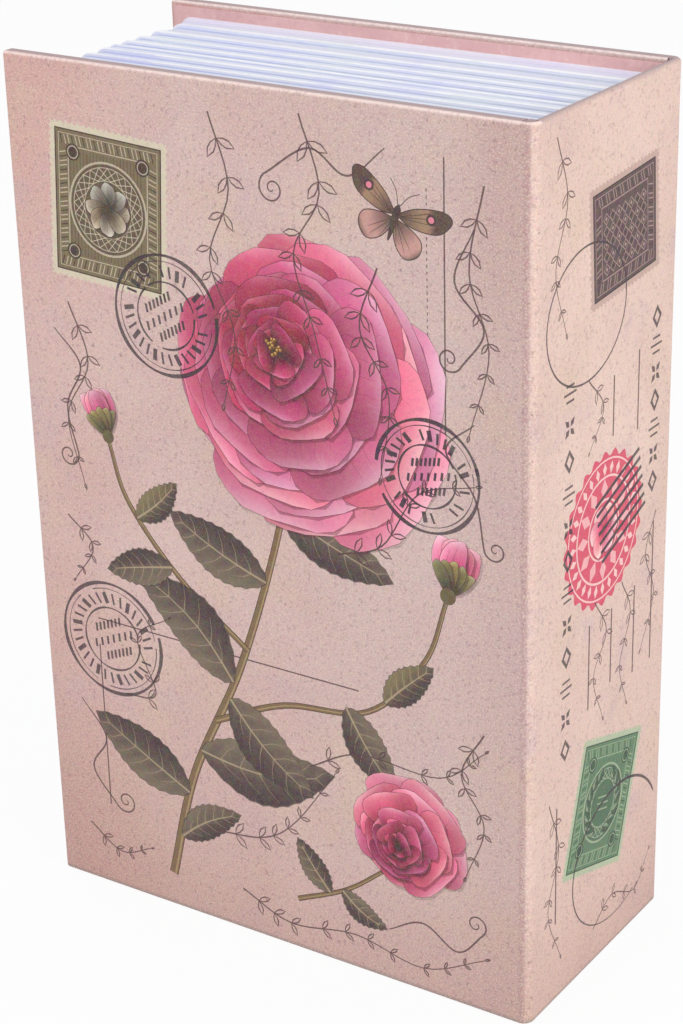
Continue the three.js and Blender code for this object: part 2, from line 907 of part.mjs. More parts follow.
// The lock stands in its own group, with its axis along Y and the lid's front
// face at zero. The keyway lies flat when unlocked and upright when locked.
function buildLock() {
  const lock = new THREE.Group();
  lock.position.set(lockX, lidFront, lockZ);
  group.add(lock);

  const frontY = -glueLine - bezelThick;
  const headSeat = frontY + plugHeadThick + glueLine;
  const bore = plugRadius + plugClearance;
  const wide = plugHeadRadius + plugClearance;
  const housingTurned = turned([
    [bore, headSeat],
    [wide, headSeat],
    [wide, frontY],
    [bezelRadius - bezelBevel, frontY],
    [bezelRadius, frontY + bezelBevel],
    [bezelRadius, -glueLine],
    [housingRadius, -glueLine],
    [housingRadius, housingLength],
    [bore, housingLength],
    [bore, headSeat],
  ], roundSides);
  const reach = bezelRadius + overrun;
  const sides = [-1, 1].map((side) => block(
    -reach,
    reach,
    -glueLine,
    housingLength + overrun,
    Math.min(side * housingFlat, side * reach),
    Math.max(side * housingFlat, side * reach),
  ));
  piece('lock_housing', cut(housingTurned, ...sides), 'nickel', lock);

  const nutLow = lidSheet + glueLine;
  const nutCorner = nutFlat / Math.cos(Math.PI / 6);
  const nut = cut(
    prismY(roundOutline(nutCorner, 6), nutLow, nutLow + nutThick),
    prismY(
      roundOutline(housingRadius + lockHoleClearance, roundSides),
      nutLow - overrun,
      nutLow + nutThick + overrun,
    ),
  );
  piece('lock_nut', nut, 'nickel', lock);

  const plugFront = frontY + glueLine;
  const plugRear = housingLength + plugRearReach;
  const tenonRear = plugRear + tenonLength;
  const plugTurned = turned([
    [0, plugFront],
    [plugHeadRadius, plugFront],
    [plugHeadRadius, plugFront + plugHeadThick - glueLine],
    [plugRadius, plugFront + plugHeadThick - glueLine],
    [plugRadius, plugRear],
    [0, plugRear],
  ], roundSides);
  const halfTenon = tenonSide / 2;
  const tenon = block(-halfTenon, halfTenon, plugRear - overrun, tenonRear, -halfTenon, halfTenon);
  const keyway = block(
    -keywayHeight / 2,
    keywayHeight / 2,
    plugFront - overrun,
    plugFront + keywayDepth,
    -keywayWidth / 2,
    keywayWidth / 2,
  );
  const screwHole = prismY(
    roundOutline(camScrewRadius + screwClearance, smallSides),
    tenonRear - camScrewLength,
    tenonRear + overrun,
  );
  const waferSlots = [];
  const slotLow = headSeat + waferStart;
  for (let i = 0; i < waferCount; i += 1) {
    const low = slotLow + i * waferPitch;
    waferSlots.push(block(
      -plugRadius - overrun,
      plugRadius + overrun,
      low,
      low + waferThick + 2 * waferClearance,
      -waferWidth / 2 - waferClearance,
      waferWidth / 2 + waferClearance,
    ));
  }
  piece('lock_plug', cut(joined(plugTurned, tenon), keyway, screwHole, ...waferSlots), 'brass', lock);

  const waferReach = plugRadius - waferClearance - waferWindowMargin / 2;
  for (let i = 0; i < waferCount; i += 1) {
    const low = slotLow + i * waferPitch + waferClearance;
    const plate = block(-waferReach, waferReach, low, low + waferThick, -waferWidth / 2, waferWidth / 2);
    const window = block(
      waferWindowMargin - waferReach,
      waferReach - waferWindowMargin,
      low - overrun,
      low + waferThick + overrun,
      waferWindowMargin - waferWidth / 2,
      waferWidth / 2 - waferWindowMargin,
    );
    piece(`lock_wafer_${i + 1}`, cut(plate, window), 'brass', lock);
  }

  const camLow = plugRear + camGap;
  const armEnd = camReach - camTipRadius;
  const arm = new THREE.Shape();
  arm.moveTo(-camTipRadius, armEnd);
  arm.lineTo(-camHubRadius, 0);
  arm.lineTo(camHubRadius, 0);
  arm.lineTo(camTipRadius, armEnd);
  const holeSide = halfTenon + screwClearance;
  const cam = cut(
    joined(
      prismY(roundOutline(camHubRadius, roundSides), camLow, camLow + camThick),
      prismY(roundOutline(camTipRadius, smallSides, 0, armEnd), camLow, camLow + camThick),
      prismY(arm, camLow, camLow + camThick),
    ),
    block(-holeSide, holeSide, camLow - overrun, camLow + camThick + overrun, -holeSide, holeSide),
  );
  piece('lock_cam', cam, 'zincSteel', lock);

  const washerLow = tenonRear + glueLine;
  const washer = cut(
    prismY(roundOutline(washerRadius, roundSides), washerLow, washerLow + washerThick),
    prismY(
      roundOutline(camScrewRadius + screwClearance, smallSides),
      washerLow - overrun,
      washerLow + washerThick + overrun,
    ),
  );
  piece('cam_washer', washer, 'zincSteel', lock);

  const headY = washerLow + washerThick + glueLine;
  const shank = headY - tenonRear + camScrewLength - screwClearance;
  const screw = panScrew(camScrewHeadRadius, camScrewHeadHeight, camScrewRadius, shank);
  const mesh = piece('cam_screw', screw, 'zincSteel', lock);
  mesh.position.y = headY;
  mesh.rotation.z = Math.PI;
}

buildCase();
buildPageBlock();
buildTray();
buildTrayScrews();
buildHinge();
const leafHeights = rivetHeights(rivetSpan, rivetCount);
const trayLeafInner = trayLeafOuter - leafSheet;
buildRivets(
  'tray_leaf_rivet',
  leafHeights,
  traySpine - trayLeafInner + 2 * glueLine,
  trayLeafInner - glueLine,
  trayRivetY,
  -Math.PI / 2,
);
buildLid();
buildRivets(
  'lid_leaf_rivet',
  leafHeights,
  lidSheet + leafSheet + 3 * glueLine,
  lidRivetX,
  lidFront - glueLine,
  0,
);
buildKeeper();
const keeperInner = trayFore + traySheet + glueLine + keeperSheet;
buildRivets(
  'keeper_rivet',
  rivetHeights(keeperRivetSpan, 2),
  keeperInner - trayFore + 2 * glueLine,
  keeperInner + glueLine,
  keeperRivetY,
  Math.PI / 2,
);
buildLock();

export default group;
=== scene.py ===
import math
import random

import bmesh
import bpy
import numpy as np
from mathutils import Matrix, Vector
from mathutils.geometry import delaunay_2d_cdt


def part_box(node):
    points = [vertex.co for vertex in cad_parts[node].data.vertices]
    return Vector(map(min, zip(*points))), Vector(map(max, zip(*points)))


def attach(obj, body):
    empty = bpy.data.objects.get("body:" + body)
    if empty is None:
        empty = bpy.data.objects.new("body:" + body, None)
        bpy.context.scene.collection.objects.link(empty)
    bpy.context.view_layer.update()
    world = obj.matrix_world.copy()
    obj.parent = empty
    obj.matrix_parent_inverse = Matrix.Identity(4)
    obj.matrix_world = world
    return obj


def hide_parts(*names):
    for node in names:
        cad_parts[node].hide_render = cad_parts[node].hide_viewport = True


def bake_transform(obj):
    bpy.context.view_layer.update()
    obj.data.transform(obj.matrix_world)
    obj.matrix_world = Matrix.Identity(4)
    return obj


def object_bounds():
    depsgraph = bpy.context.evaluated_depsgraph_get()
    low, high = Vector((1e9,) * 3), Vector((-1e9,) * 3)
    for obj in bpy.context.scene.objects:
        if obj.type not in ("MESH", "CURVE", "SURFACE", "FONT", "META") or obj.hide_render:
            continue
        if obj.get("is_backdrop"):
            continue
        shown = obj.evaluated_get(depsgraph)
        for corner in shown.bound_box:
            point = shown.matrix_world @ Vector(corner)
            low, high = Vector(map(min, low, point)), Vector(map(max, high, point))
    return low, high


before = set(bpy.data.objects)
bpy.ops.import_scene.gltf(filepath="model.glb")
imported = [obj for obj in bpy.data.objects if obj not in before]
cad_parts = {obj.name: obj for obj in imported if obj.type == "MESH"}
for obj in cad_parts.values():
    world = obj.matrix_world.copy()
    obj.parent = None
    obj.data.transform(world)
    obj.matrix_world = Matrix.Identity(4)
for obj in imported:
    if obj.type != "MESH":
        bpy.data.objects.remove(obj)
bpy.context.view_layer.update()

# Camera: a long lens a little above the standing book, turned towards its spine.
# The frame is shifted by a few hundredths, which puts the book where the picture has it.
camera_place = (0.253531, -0.378706, 0.282850)
camera_turn, camera_rise, camera_roll = 0.581272, 0.417419, -0.020841
back = Vector((
    math.sin(camera_turn) * math.cos(camera_rise),
    -math.cos(camera_turn) * math.cos(camera_rise),
    math.sin(camera_rise),
))
level = Vector((0, 0, 1)).cross(back).normalized()
upright = back.cross(level)
right = level * math.cos(camera_roll) + upright * math.sin(camera_roll)
above = upright * math.cos(camera_roll) - level * math.sin(camera_roll)


def put_down(name, data):
    """An object of that name and data, in the scene."""
    made = bpy.data.objects.new(name, data)
    bpy.context.scene.collection.objects.link(made)
    return made


camera = put_down("camera", bpy.data.cameras.new("camera"))
camera.data.lens = 86.40
camera.data.sensor_width = 36
camera.data.shift_x = -0.02691
camera.data.shift_y = 0.02650
camera.data.clip_start = 0.01
camera.matrix_world = Matrix((
    (right.x, above.x, back.x, camera_place[0]),
    (right.y, above.y, back.y, camera_place[1]),
    (right.z, above.z, back.z, camera_place[2]),
    (0, 0, 0, 1),
))
bpy.context.scene.camera = camera
bpy.context.scene.view_settings.view_transform = "Standard"


# Studio: a white floor that keeps a soft shadow, a white surround, a broad lamp
# from the spine side and weaker ones from the front and above.
class Wire:
    """One output of a material's nodes. Sums on it add Math nodes."""

    tree = None

    def __init__(self, socket):
        self.socket = socket

    @classmethod
    def node(cls, kind, settings=None, inputs=None, output=0):
        made = cls.tree.nodes.new(kind)
        for name, value in (settings or {}).items():
            setattr(made, name, value)
        for key, value in (inputs or {}).items():
            if isinstance(value, Wire):
                cls.tree.links.new(value.socket, made.inputs[key])
            else:
                made.inputs[key].default_value = value
        return cls(made.outputs[output])

    def math(self, operation, *others):
        return Wire.node("ShaderNodeMath", {"operation": operation}, dict(enumerate((self, *others))))

    def __add__(self, other):
        return self.math("ADD", other)

    def __sub__(self, other):
        return self.math("SUBTRACT", other)

    def __rsub__(self, other):
        return Wire.node("ShaderNodeMath", {"operation": "SUBTRACT"}, {0: other, 1: self})

    def __mul__(self, other):
        return self.math("MULTIPLY", other)

    def within(self, low, high, first=0.0, last=1.0):
        """This value, taken smoothly from one range to another."""
        return Wire.node(
            "ShaderNodeMapRange",
            {"interpolation_type": "SMOOTHSTEP"},
            {"Value": self, "From Min": low, "From Max": high, "To Min": first, "To Max": last},
        )

    __radd__ = __add__
    __rmul__ = __mul__


def material(name, **sockets):
    """A named material, with its shader's plain sockets set. Its patterns come from wired()."""
    made = bpy.data.materials.new(name)
    made.use_nodes = True
    Wire.tree = made.node_tree
    shader = made.node_tree.nodes["Principled BSDF"]
    for socket, value in sockets.items():
        shader.inputs[socket.replace("_", " ")].default_value = value
    return made


def plain_view():
    """1 for the rays that see plain white: the camera's, and those that gloss or glass sends on."""
    kinds = ("Camera", "Glossy", "Transmission")
    camera_ray, glossy_ray, passing_ray = (
        Wire.node("ShaderNodeLightPath", output=f"Is {kind} Ray") for kind in kinds
    )
    return (camera_ray + glossy_ray + passing_ray).math("MINIMUM", 1.0)


floor_reach = 14.0
floor_white_share = 0.94
floor_corners = [(x * floor_reach, y * floor_reach, 0) for x, y in ((-1, -1), (1, -1), (1, 1), (-1, 1))]
floor_mesh = bpy.data.meshes.new("floor")
floor_mesh.from_pydata(floor_corners, [], [(0, 1, 2, 3)])
floor = put_down("floor", floor_mesh)
floor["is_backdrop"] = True
floor_paint = material("white floor", Roughness=0.9)
shader = floor_paint.node_tree.nodes["Principled BSDF"]
shader.inputs["Base Color"].default_value = (0.86, 0.86, 0.86, 1)
plain_white = Wire.node("ShaderNodeEmission", None, {"Color": (1, 1, 1, 1), "Strength": 1.0})
floor_mix = Wire.node("ShaderNodeMixShader", None, {0: plain_view() * floor_white_share, 2: plain_white})
floor_output = floor_paint.node_tree.nodes["Material Output"]
floor_paint.node_tree.links.new(shader.outputs[0], floor_mix.socket.node.inputs[1])
floor_paint.node_tree.links.new(floor_mix.socket, floor_output.inputs["Surface"])
floor_mesh.materials.append(floor_paint)

world = bpy.data.worlds.new("studio")
bpy.context.scene.world = world
world.use_nodes = True
Wire.tree = world.node_tree
surround = Wire.node("ShaderNodeBackground", None, {"Color": (0.95, 0.96, 1.0, 1), "Strength": 0.50})
white = Wire.node("ShaderNodeBackground", None, {"Color": (1, 1, 1, 1), "Strength": 1.0})
world_mix = Wire.node("ShaderNodeMixShader", None, {0: plain_view(), 1: surround, 2: white})
world.node_tree.links.new(world_mix.socket, world.node_tree.nodes["World Output"].inputs["Surface"])

book_middle = Vector((0, 0, 0.09))
for name, place, side, power, colour in (
    ("spine lamp", (1.2, -0.3, 0.55), 0.7, 7.6, (1.0, 0.97, 0.93)),
    ("front lamp", (-0.25, -1.35, 0.55), 0.9, 5.8, (1.0, 0.975, 0.965)),
    ("top lamp", (-0.1, 0.1, 1.3), 0.8, 3.9, (0.90, 0.93, 1.0)),
):
    lamp = put_down(name, bpy.data.lights.new(name, "AREA"))
    lamp.data.size = side
    lamp.data.energy = power
    lamp.data.color = colour
    lamp.location = place
    lamp.rotation_mode = "QUATERNION"
    lamp.rotation_quaternion = (book_middle - Vector(place)).to_track_quat("-Z", "Y")

# Print: one sheet of paper runs over both covers and the spine, inked with flowers,
# labels, ring marks and borders. It is drawn flat here, in millimetres along the
# unrolled case and up from its foot, and the pieces further down are cut from it.
sheet = []


def tone(red, green, blue, strength=1.0):
    return np.array((red / 255, green / 255, blue / 255, strength))


def between(first, second, share):
    share = np.clip(np.asarray(share, float), 0, 1)[..., None]
    return first * (1 - share) + second * share


def placed(points, s, z, turn=0.0, size=1.0):
    x, y = (np.asarray(points, float) * size).T
    c, d = math.cos(turn), math.sin(turn)
    return np.column_stack((s + x * c - y * d, z + x * d + y * c))


def printed(outlines, colour, spacing=None):
    """An inked shape: closed outlines, a colour or a rule for it, and how finely it is shaded."""
    sheet.append(([np.asarray(o, float) for o in outlines], colour, spacing))


def stroke(path, width, colour, closed=False):
    """A pen line of that width (one number, or one for each point) along a path."""
    path = np.asarray(path, float)
    if closed:
        before, after = np.roll(path, 1, 0), np.roll(path, -1, 0)
    else:
        before = np.vstack((path[:1], path[:-1]))
        after = np.vstack((path[1:], path[-1:]))
    along = after - before
    along /= np.maximum(np.hypot(*along.T), 1e-9)[:, None]
    side = np.column_stack((-along[:, 1], along[:, 0])) * (np.broadcast_to(width, len(path)) / 2)[:, None]
    if closed:
        printed([path + side, (path - side)[::-1]], colour)
    else:
        printed([np.vstack((path + side, (path - side)[::-1]))], colour)


def curve(knots, count=24):
    """A smooth path through a few points, each span bent by the points on both sides of it."""
    knots = np.asarray(knots, float)
    knots = np.vstack((2 * knots[0] - knots[1], knots, 2 * knots[-1] - knots[-2]))
    path = []
    spans = len(knots) - 3
    for i in range(spans):
        a, b, c, d = knots[i:i + 4]
        for t in np.linspace(0, 1, count // spans + 1)[:-1]:
            square, cube = 2 * a - 5 * b + 4 * c - d, 3 * b - a - 3 * c + d
            path.append(0.5 * (2 * b + (c - a) * t + square * t * t + cube * t ** 3))
    path.append(knots[-2])
    return np.array(path)


def ring(radius, count):
    turn = np.linspace(0, 2 * math.pi, count, endpoint=False)
    return np.column_stack((radius * np.cos(turn), radius * np.sin(turn)))


def petal(s, z, turn, length, width, tones, dice, veins=4, fine=1.0):
    """A ruffled petal: the shadow it throws, its dark outline, its shaded face and its veins."""
    deep, middle, pale = tones
    trip = np.linspace(0, 2 * math.pi, 23)[:-1]
    u = (1 - np.cos(trip)) / 2
    wave = dice.uniform(0, 2 * math.pi)
    lean = dice.uniform(-0.07, 0.07) * length
    half = width / 2 * (u ** 0.62 * np.clip(1 - u, 0, 1) ** 0.42) / 0.485
    ruffle = 1 + u ** 2 * (0.030 * np.sin(3 * trip + wave) + 0.016 * np.sin(7 * trip - wave))
    side = np.sign(math.pi - trip) * half * ruffle
    edge = np.column_stack((u * length * ruffle, side + lean * np.sin(np.pi * u)))
    warm = dice.uniform(-0.03, 0.03)
    lit = dice.uniform(-0.07, 0.07)

    def shade(points):
        c, d = math.cos(turn), math.sin(turn)
        dx, dz = points[:, 0] - s, points[:, 1] - z
        along = (dx * c + dz * d) / length
        across = (dz * c - dx * d) / (width / 2)
        colour = between(deep * (0.72, 0.62, 0.72, 1), deep, along / 0.22)
        colour = between(colour, middle, (along - 0.12) / 0.42)
        colour = between(colour, pale, np.clip((along - 0.42) / 0.58, 0, 1) ** 1.2)
        colour = between(colour, pale, 0.45 * np.abs(across) ** 3)
        colour = between(colour, between(pale, pale * 0 + 1, 0.4), (along - 0.86) / 0.12 * 0.5)
        colour = between(colour, deep, 0.40 * np.clip(0.45 - across, 0, 1) * (1 - 0.5 * along))
        fold = 0.055 * np.sin(4.5 * across + wave) * np.sin(np.pi * np.clip(along, 0, 1))
        colour[:, :3] = colour[:, :3] * (1 + lit + fold[:, None]) + (warm, 0, -warm)
        return np.clip(colour, 0, 1)

    dark = deep * (0.55, 0.4, 0.5, 1)
    centre = (0.5 * length, 0)
    grown = (edge - centre) * (1 + 0.5 / length, 1 + 0.6 / width) + centre
    printed([placed(grown[::2], s + 0.3, z - 0.45, turn)], dark * (1, 1, 1, 0.30))
    grown = (edge - centre) * (1 + 0.22 / length, 1 + 0.22 / width) + centre
    printed([placed(grown, s, z, turn)], dark * (1, 1, 1, 0.55))
    printed([placed(edge, s, z, turn)], shade, fine)
    for k in range(veins):
        v = (k - (veins - 1) / 2) / (veins / 2)
        t = np.linspace(0.06, 0.70 + 0.2 * (1 - abs(v)), 4)
        reach = width / 2 * (t ** 0.62 * (1 - t) ** 0.42) / 0.485
        path = np.column_stack((t * length, v * 0.74 * reach + lean * np.sin(np.pi * t)))
        stroke(placed(path, s, z, turn), np.linspace(0.2, 0.07, 4), dark * (1, 1, 1, 0.34))


def leaf(s, z, turn, length, width, tones, dice, veins=7):
    """A toothed leaf, a little bowed: its shadow, its ribbed face, its midrib and its veins."""
    dark, light, line = tones
    u = np.linspace(0, 1, 22)
    half = width / 2 * np.sin(np.pi * u ** 0.82) ** 0.85
    notch = np.where(np.arange(22) % 2 == 1, 0.35, 0.0)
    notch[0] = notch[-1] = 0
    bow = dice.uniform(-0.1, 0.1) * length * np.sin(np.pi * u)
    upper = np.column_stack((u * length, half + notch + bow))
    lower = np.column_stack((u * length, bow - half - notch))
    edge = np.vstack((upper, lower[-2:0:-1]))

    def shade(points):
        c, d = math.cos(turn), math.sin(turn)
        dx, dz = points[:, 0] - s, points[:, 1] - z
        along = (dx * c + dz * d) / length
        across = (dz * c - dx * d - np.interp(along, u, bow)) / (width / 2)
        colour = between(dark, light, 0.42 + 0.42 * across - 0.25 * along)
        ribs = 0.5 + 0.5 * np.cos(2 * np.pi * (along * veins - np.abs(across) * 1.1))
        colour = between(colour, light, 0.40 * ribs * (across > -0.1))
        colour = between(colour, dark * (0.6, 0.58, 0.62, 1), 0.6 * np.clip(-across, 0, 1) * ribs)
        return np.clip(colour, 0, 1)

    centre = (0.5 * length, 0)
    outer = (edge - centre) * (1 + 0.4 / length, 1 + 0.4 / width) + centre
    printed([placed(outer, s, z, turn)], dark * (0.6, 0.6, 0.6, 0.8))
    printed([placed(edge, s, z, turn)], shade, 1.0)
    middle = np.column_stack((u[:-1:3] * length, bow[:-1:3]))
    stroke(placed(middle, s, z, turn), np.linspace(0.45, 0.15, len(middle)), line)
    for k in range(1, veins):
        t = k / veins
        reach = np.interp(t, u, half) * 0.86
        for side in (-1, 1):
            hop = np.linspace(0, 1, 3)
            path = np.column_stack(((t + 0.13 * hop ** 1.3) * length,
                                    np.interp(t, u, bow) + side * reach * hop ** 0.9))
            stroke(placed(path, s, z, turn), np.linspace(0.24, 0.08, 3), line * (1, 1, 1, 0.65))


def tendril(knots, width, colour, curl, turns, hand):
    """A thin stem that ends in a spiral of that many turns, to the left or right hand."""
    path = curve(knots, 8 * (len(knots) - 1))
    last = path[-1] - path[-2]
    heading = math.atan2(last[1], last[0])
    spiral = [path[-1]]
    a_turn = 26
    steps = int(a_turn * turns)
    stride = 2 * math.pi * curl / a_turn
    for i in range(steps):
        heading += hand * 2 * math.pi / a_turn
        reach = stride * (1 - i / steps) ** 1.15
        spiral.append(spiral[-1] + reach * np.array((math.cos(heading), math.sin(heading))))
    path = np.vstack((path, spiral[1:]))
    taper = width * np.interp(np.linspace(0, 1, len(path)), (0, 0.1, 0.7, 1), (0.6, 1, 0.8, 0.45))
    stroke(path, taper, colour)


def sprig(knots, colour, size=3.4, pairs=6, width=0.36):
    """A pen-drawn spray: a thin stem with outlined leaves in pairs and one at its end."""
    path = curve(knots, 24)
    stroke(path, width * np.linspace(1.1, 0.6, len(path)), colour)
    lens = np.array([(0, 0), (0.3, 0.17), (0.62, 0.2), (1, 0), (0.62, -0.2), (0.3, -0.17)])
    for k in range(1, pairs + 2):
        here = min(int(len(path) * k / (pairs + 1)), len(path) - 1)
        ahead = path[here] - path[here - 2]
        heading = math.atan2(ahead[1], ahead[0])
        reach = size * (1.15 - 0.55 * k / pairs)
        for lean in ((-0.85, 0.85) if k <= pairs else (0,)):
            centre = (0.5 * reach, 0)
            slimmer = (1 - 2 * width / reach, 1 - 0.9 * width / (0.2 * reach))
            inner = (lens * reach - centre) * slimmer + centre
            printed([placed(lens * reach, *path[here], heading + lean),
                     placed(inner, *path[here], heading + lean)[::-1]], colour)


dice = random.Random(7)
rose_deep, rose, rose_pale = tone(128, 14, 52), tone(222, 76, 126), tone(244, 178, 192)
ink_brown = tone(74, 46, 52, 0.88)
leaf_dark, leaf_light, leaf_line = tone(70, 54, 54), tone(132, 120, 96), tone(168, 150, 120)
stem_tone = tone(122, 98, 66)
pinks = (rose_deep, rose, rose_pale)
greens = (leaf_dark, leaf_light, leaf_line)
purple = tone(42, 28, 42, 0.88)


def bloom(s, z, radius, rings, tilt, tones, veins=4):
    """A many-petalled flower, drawn from its outer ring of petals inwards, lit from one side."""
    deep, middle, pale = tones
    for k, (share, count, wide) in enumerate(rings):
        inner = 1 - share
        order = list(range(count))
        dice.shuffle(order)
        for i in order:
            turn = 2 * math.pi * (i + 0.37 * k) / count + dice.uniform(-0.10, 0.10)
            reach = radius * share * (1 + 0.15 * math.cos(turn - tilt)) * dice.uniform(0.93, 1.05)
            base = reach * (0.24 if k < len(rings) - 2 else 0.08)
            cs = s - 0.26 * radius * inner * math.cos(tilt)
            cz = z - 0.26 * radius * inner * math.sin(tilt)
            away = 0.5 - 0.5 * math.cos(turn - tilt)
            dark = min(inner * 0.78 + 0.66 * away ** 1.3, 1.0)
            t = (
                between(deep, deep * (0.5, 0.35, 0.45, 1), dark),
                between(middle, deep, dark * 0.95),
                between(between(pale, middle, dark * 1.15), deep, (dark - 0.55) * 0.9),
            )
            petal(cs + base * math.cos(turn), cz + base * math.sin(turn), turn, reach - base,
                  2 * math.pi * reach / count * wide, t, dice, veins if share > 0.5 else 2)


def notched(s, z, turn, wide, high, pitch=1.35, depth=0.42):
    """A rectangle with the row of small round bites that perforating leaves in a label's edge."""
    edge = []
    for ax, az, bx, bz in ((-1, -1, 1, -1), (1, -1, 1, 1), (1, 1, -1, 1), (-1, 1, -1, -1)):
        a = np.array((ax * wide / 2, az * high / 2))
        b = np.array((bx * wide / 2, bz * high / 2))
        length = np.hypot(*(b - a))
        count = int(length / pitch)
        along = (b - a) / length
        inward = np.array((-along[1], along[0]))
        for i in range(count):
            middle = a + along * length * (i + 0.5) / count
            edge.append(a + along * length * (i + 0.22) / count)
            for t in (0.15, 0.5, 0.85):
                edge.append(middle + 0.28 * length / count * (-math.cos(math.pi * t) * along)
                            + depth * math.sin(math.pi * t) * inward)
            edge.append(a + along * length * (i + 0.78) / count)
    return placed(edge, s, z, turn)


def diamond(x, y, half):
    return [(x - half, y), (x, y - half), (x + half, y), (x, y + half)]


def printed_label(s, z, turn, wide, high, tones, motif="rosette"):
    """A perforated label: hatched bands, and a rosette, a lattice or a wreath in its middle."""
    paper, ink, dark = tones
    printed([notched(s, z, turn, wide, high)], paper)

    def on_label(points):
        return placed(points, s, z, turn)

    def border(inset):
        w, h = wide / 2 - inset, high / 2 - inset
        return on_label([(-w, -h), (w, -h), (w, h), (-w, h)])

    margin = 1.5
    w, h = wide / 2 - margin, high / 2 - margin
    light = paper * (1, 1, 1, 0.75)
    printed([border(margin)], ink)
    stroke(border(margin), 0.4, dark, closed=True)
    stroke(border(2.3), 0.2, light, closed=True)
    stroke(border(4.6), 0.3, light, closed=True)
    step = 0.9
    for side in (-1, 1):
        for i in range(int((2 * w - 2.4) / step)):
            x = -w + 1.2 + i * step
            hatch = on_label([(x, side * (h - 1.0)), (x + 0.5, side * (h - 2.8))])
            stroke(hatch, 0.22, light if i % 3 else dark)
        for i in range(int((2 * h - 7) / step)):
            y = -h + 3.5 + i * step
            hatch = on_label([(side * (w - 1.0), y), (side * (w - 2.8), y + 0.5)])
            stroke(hatch, 0.22, light if i % 3 else dark)
    for k in range(int(2 * (w - 3.4) / 0.8)):
        x = -w + 3.6 + k * 0.8
        stroke(on_label([(x, -h + 3.6), (x, h - 3.6)]), 0.17, dark * (1, 1, 1, 0.55))
    reach = min(w, h) - 3.4
    if motif == "lattice":
        pitch = 2.4
        for i in range(int(2 * (w - 3.4) / pitch)):
            for j in range(int(2 * (h - 3.4) / pitch)):
                x, y = -w + 4.8 + i * pitch, -h + 4.8 + j * pitch
                stroke(on_label(diamond(x, y, 1.1)), 0.24, light, closed=True)
                printed([on_label(diamond(x, y, 0.45))], dark if (i + j) % 2 else light)
        return
    printed([on_label(ring(reach, 40))], between(ink, dark, 0.45))
    for r, width in ((reach, 0.45), (reach - 0.9, 0.18), (reach * 0.62, 0.18)):
        stroke(on_label(ring(r, 40)), width, light, closed=True)
    for k in range(24):
        a = 2 * math.pi * k / 24
        for b in (0.42, -0.42):
            path = [((reach - 0.9) * math.cos(a), (reach - 0.9) * math.sin(a)),
                    (0.62 * reach * math.cos(a + b), 0.62 * reach * math.sin(a + b))]
            stroke(on_label(path), 0.18, light)
    if motif == "wreath":
        for side in (-1, 1):
            for k in range(7):
                a = -math.pi / 2 + side * (0.35 + 0.36 * k)
                at = placed([(reach * 0.72 * math.cos(a), reach * 0.72 * math.sin(a))], s, z, turn)[0]
                leaf(*at, turn + a + side * 1.1, reach * 0.36, reach * 0.17, (dark, paper, dark), dice, 2)
        for k in range(3):
            y = (0.16 - 0.16 * k) * reach
            stroke(on_label([(-0.3 * reach, y), (0.3 * reach, y)]), 0.3, light)
    else:
        petal_tones = (dark, between(dark, paper, 0.45), paper)
        for k in range(8):
            petal(s, z, turn + math.pi * k / 4, reach * 0.58, reach * 0.36, petal_tones, dice, 1, 0.8)
        printed([placed(ring(0.9, 20), s, z)], dark)
    for cx in (-1, 1):
        for cz in (-1, 1):
            at = on_label([(cx * (w - 4.2), cz * (h - 4.2))])[0]
            printed([placed(ring(1.7, 16), *at)], dark)
            stroke(placed(ring(1.2, 16), *at), 0.25, light, closed=True)


def ring_mark(s, z, radius, turn, colour, waves=0, reach=0):
    """A worn double ring with dashes in it, short strokes in its middle, and waves beside it if asked."""
    for r, w in ((radius, 0.75), (radius * 0.9, 0.22), (radius * 0.56, 0.42)):
        parts = 1 + int(3 * dice.random())
        for k in range(parts):
            a = 2 * math.pi * k / parts + dice.uniform(0, 0.5)
            b = a + 2 * math.pi / parts - dice.uniform(0.05, 0.35)
            t = np.linspace(a, b, max(12, int(60 / parts)))
            worn = w * (0.65 + 0.55 * np.sin(t * 2.3 + radius) ** 2)
            stroke(placed(np.column_stack((r * np.cos(t), r * np.sin(t))), s, z), worn, colour)
    for k in range(30):
        a = 2 * math.pi * k / 30 + turn
        if dice.random() < 0.85:
            p = np.array((math.cos(a), math.sin(a)))
            q = np.array((math.cos(a + 0.07), math.sin(a + 0.07)))
            dash = placed([p * radius * 0.64, q * radius * 0.83], s, z)
            stroke(dash, 0.95 if k % 3 == 0 else 0.5, colour)
    for row, half in ((0.26, 0.26), (0.0, 0.40), (-0.26, 0.26)):
        for k in range(-3, 4):
            x = half * k / 3
            dash = [(x, row - 0.07), (x + 0.05, row + 0.07)]
            stroke(placed(dash, s, z, turn, radius), 0.55, colour)
    for k in range(waves):
        x = np.linspace(radius * 1.02, radius + reach - dice.uniform(0, 4), 26)
        y = (k - (waves - 1) / 2) * radius * 0.32 + 0.55 * np.sin(x * 1.05 + 0.3 * k)
        stroke(placed(np.column_stack((x, y)), s, z, turn), 0.5 * (0.75 + 0.3 * np.sin(x)), colour)


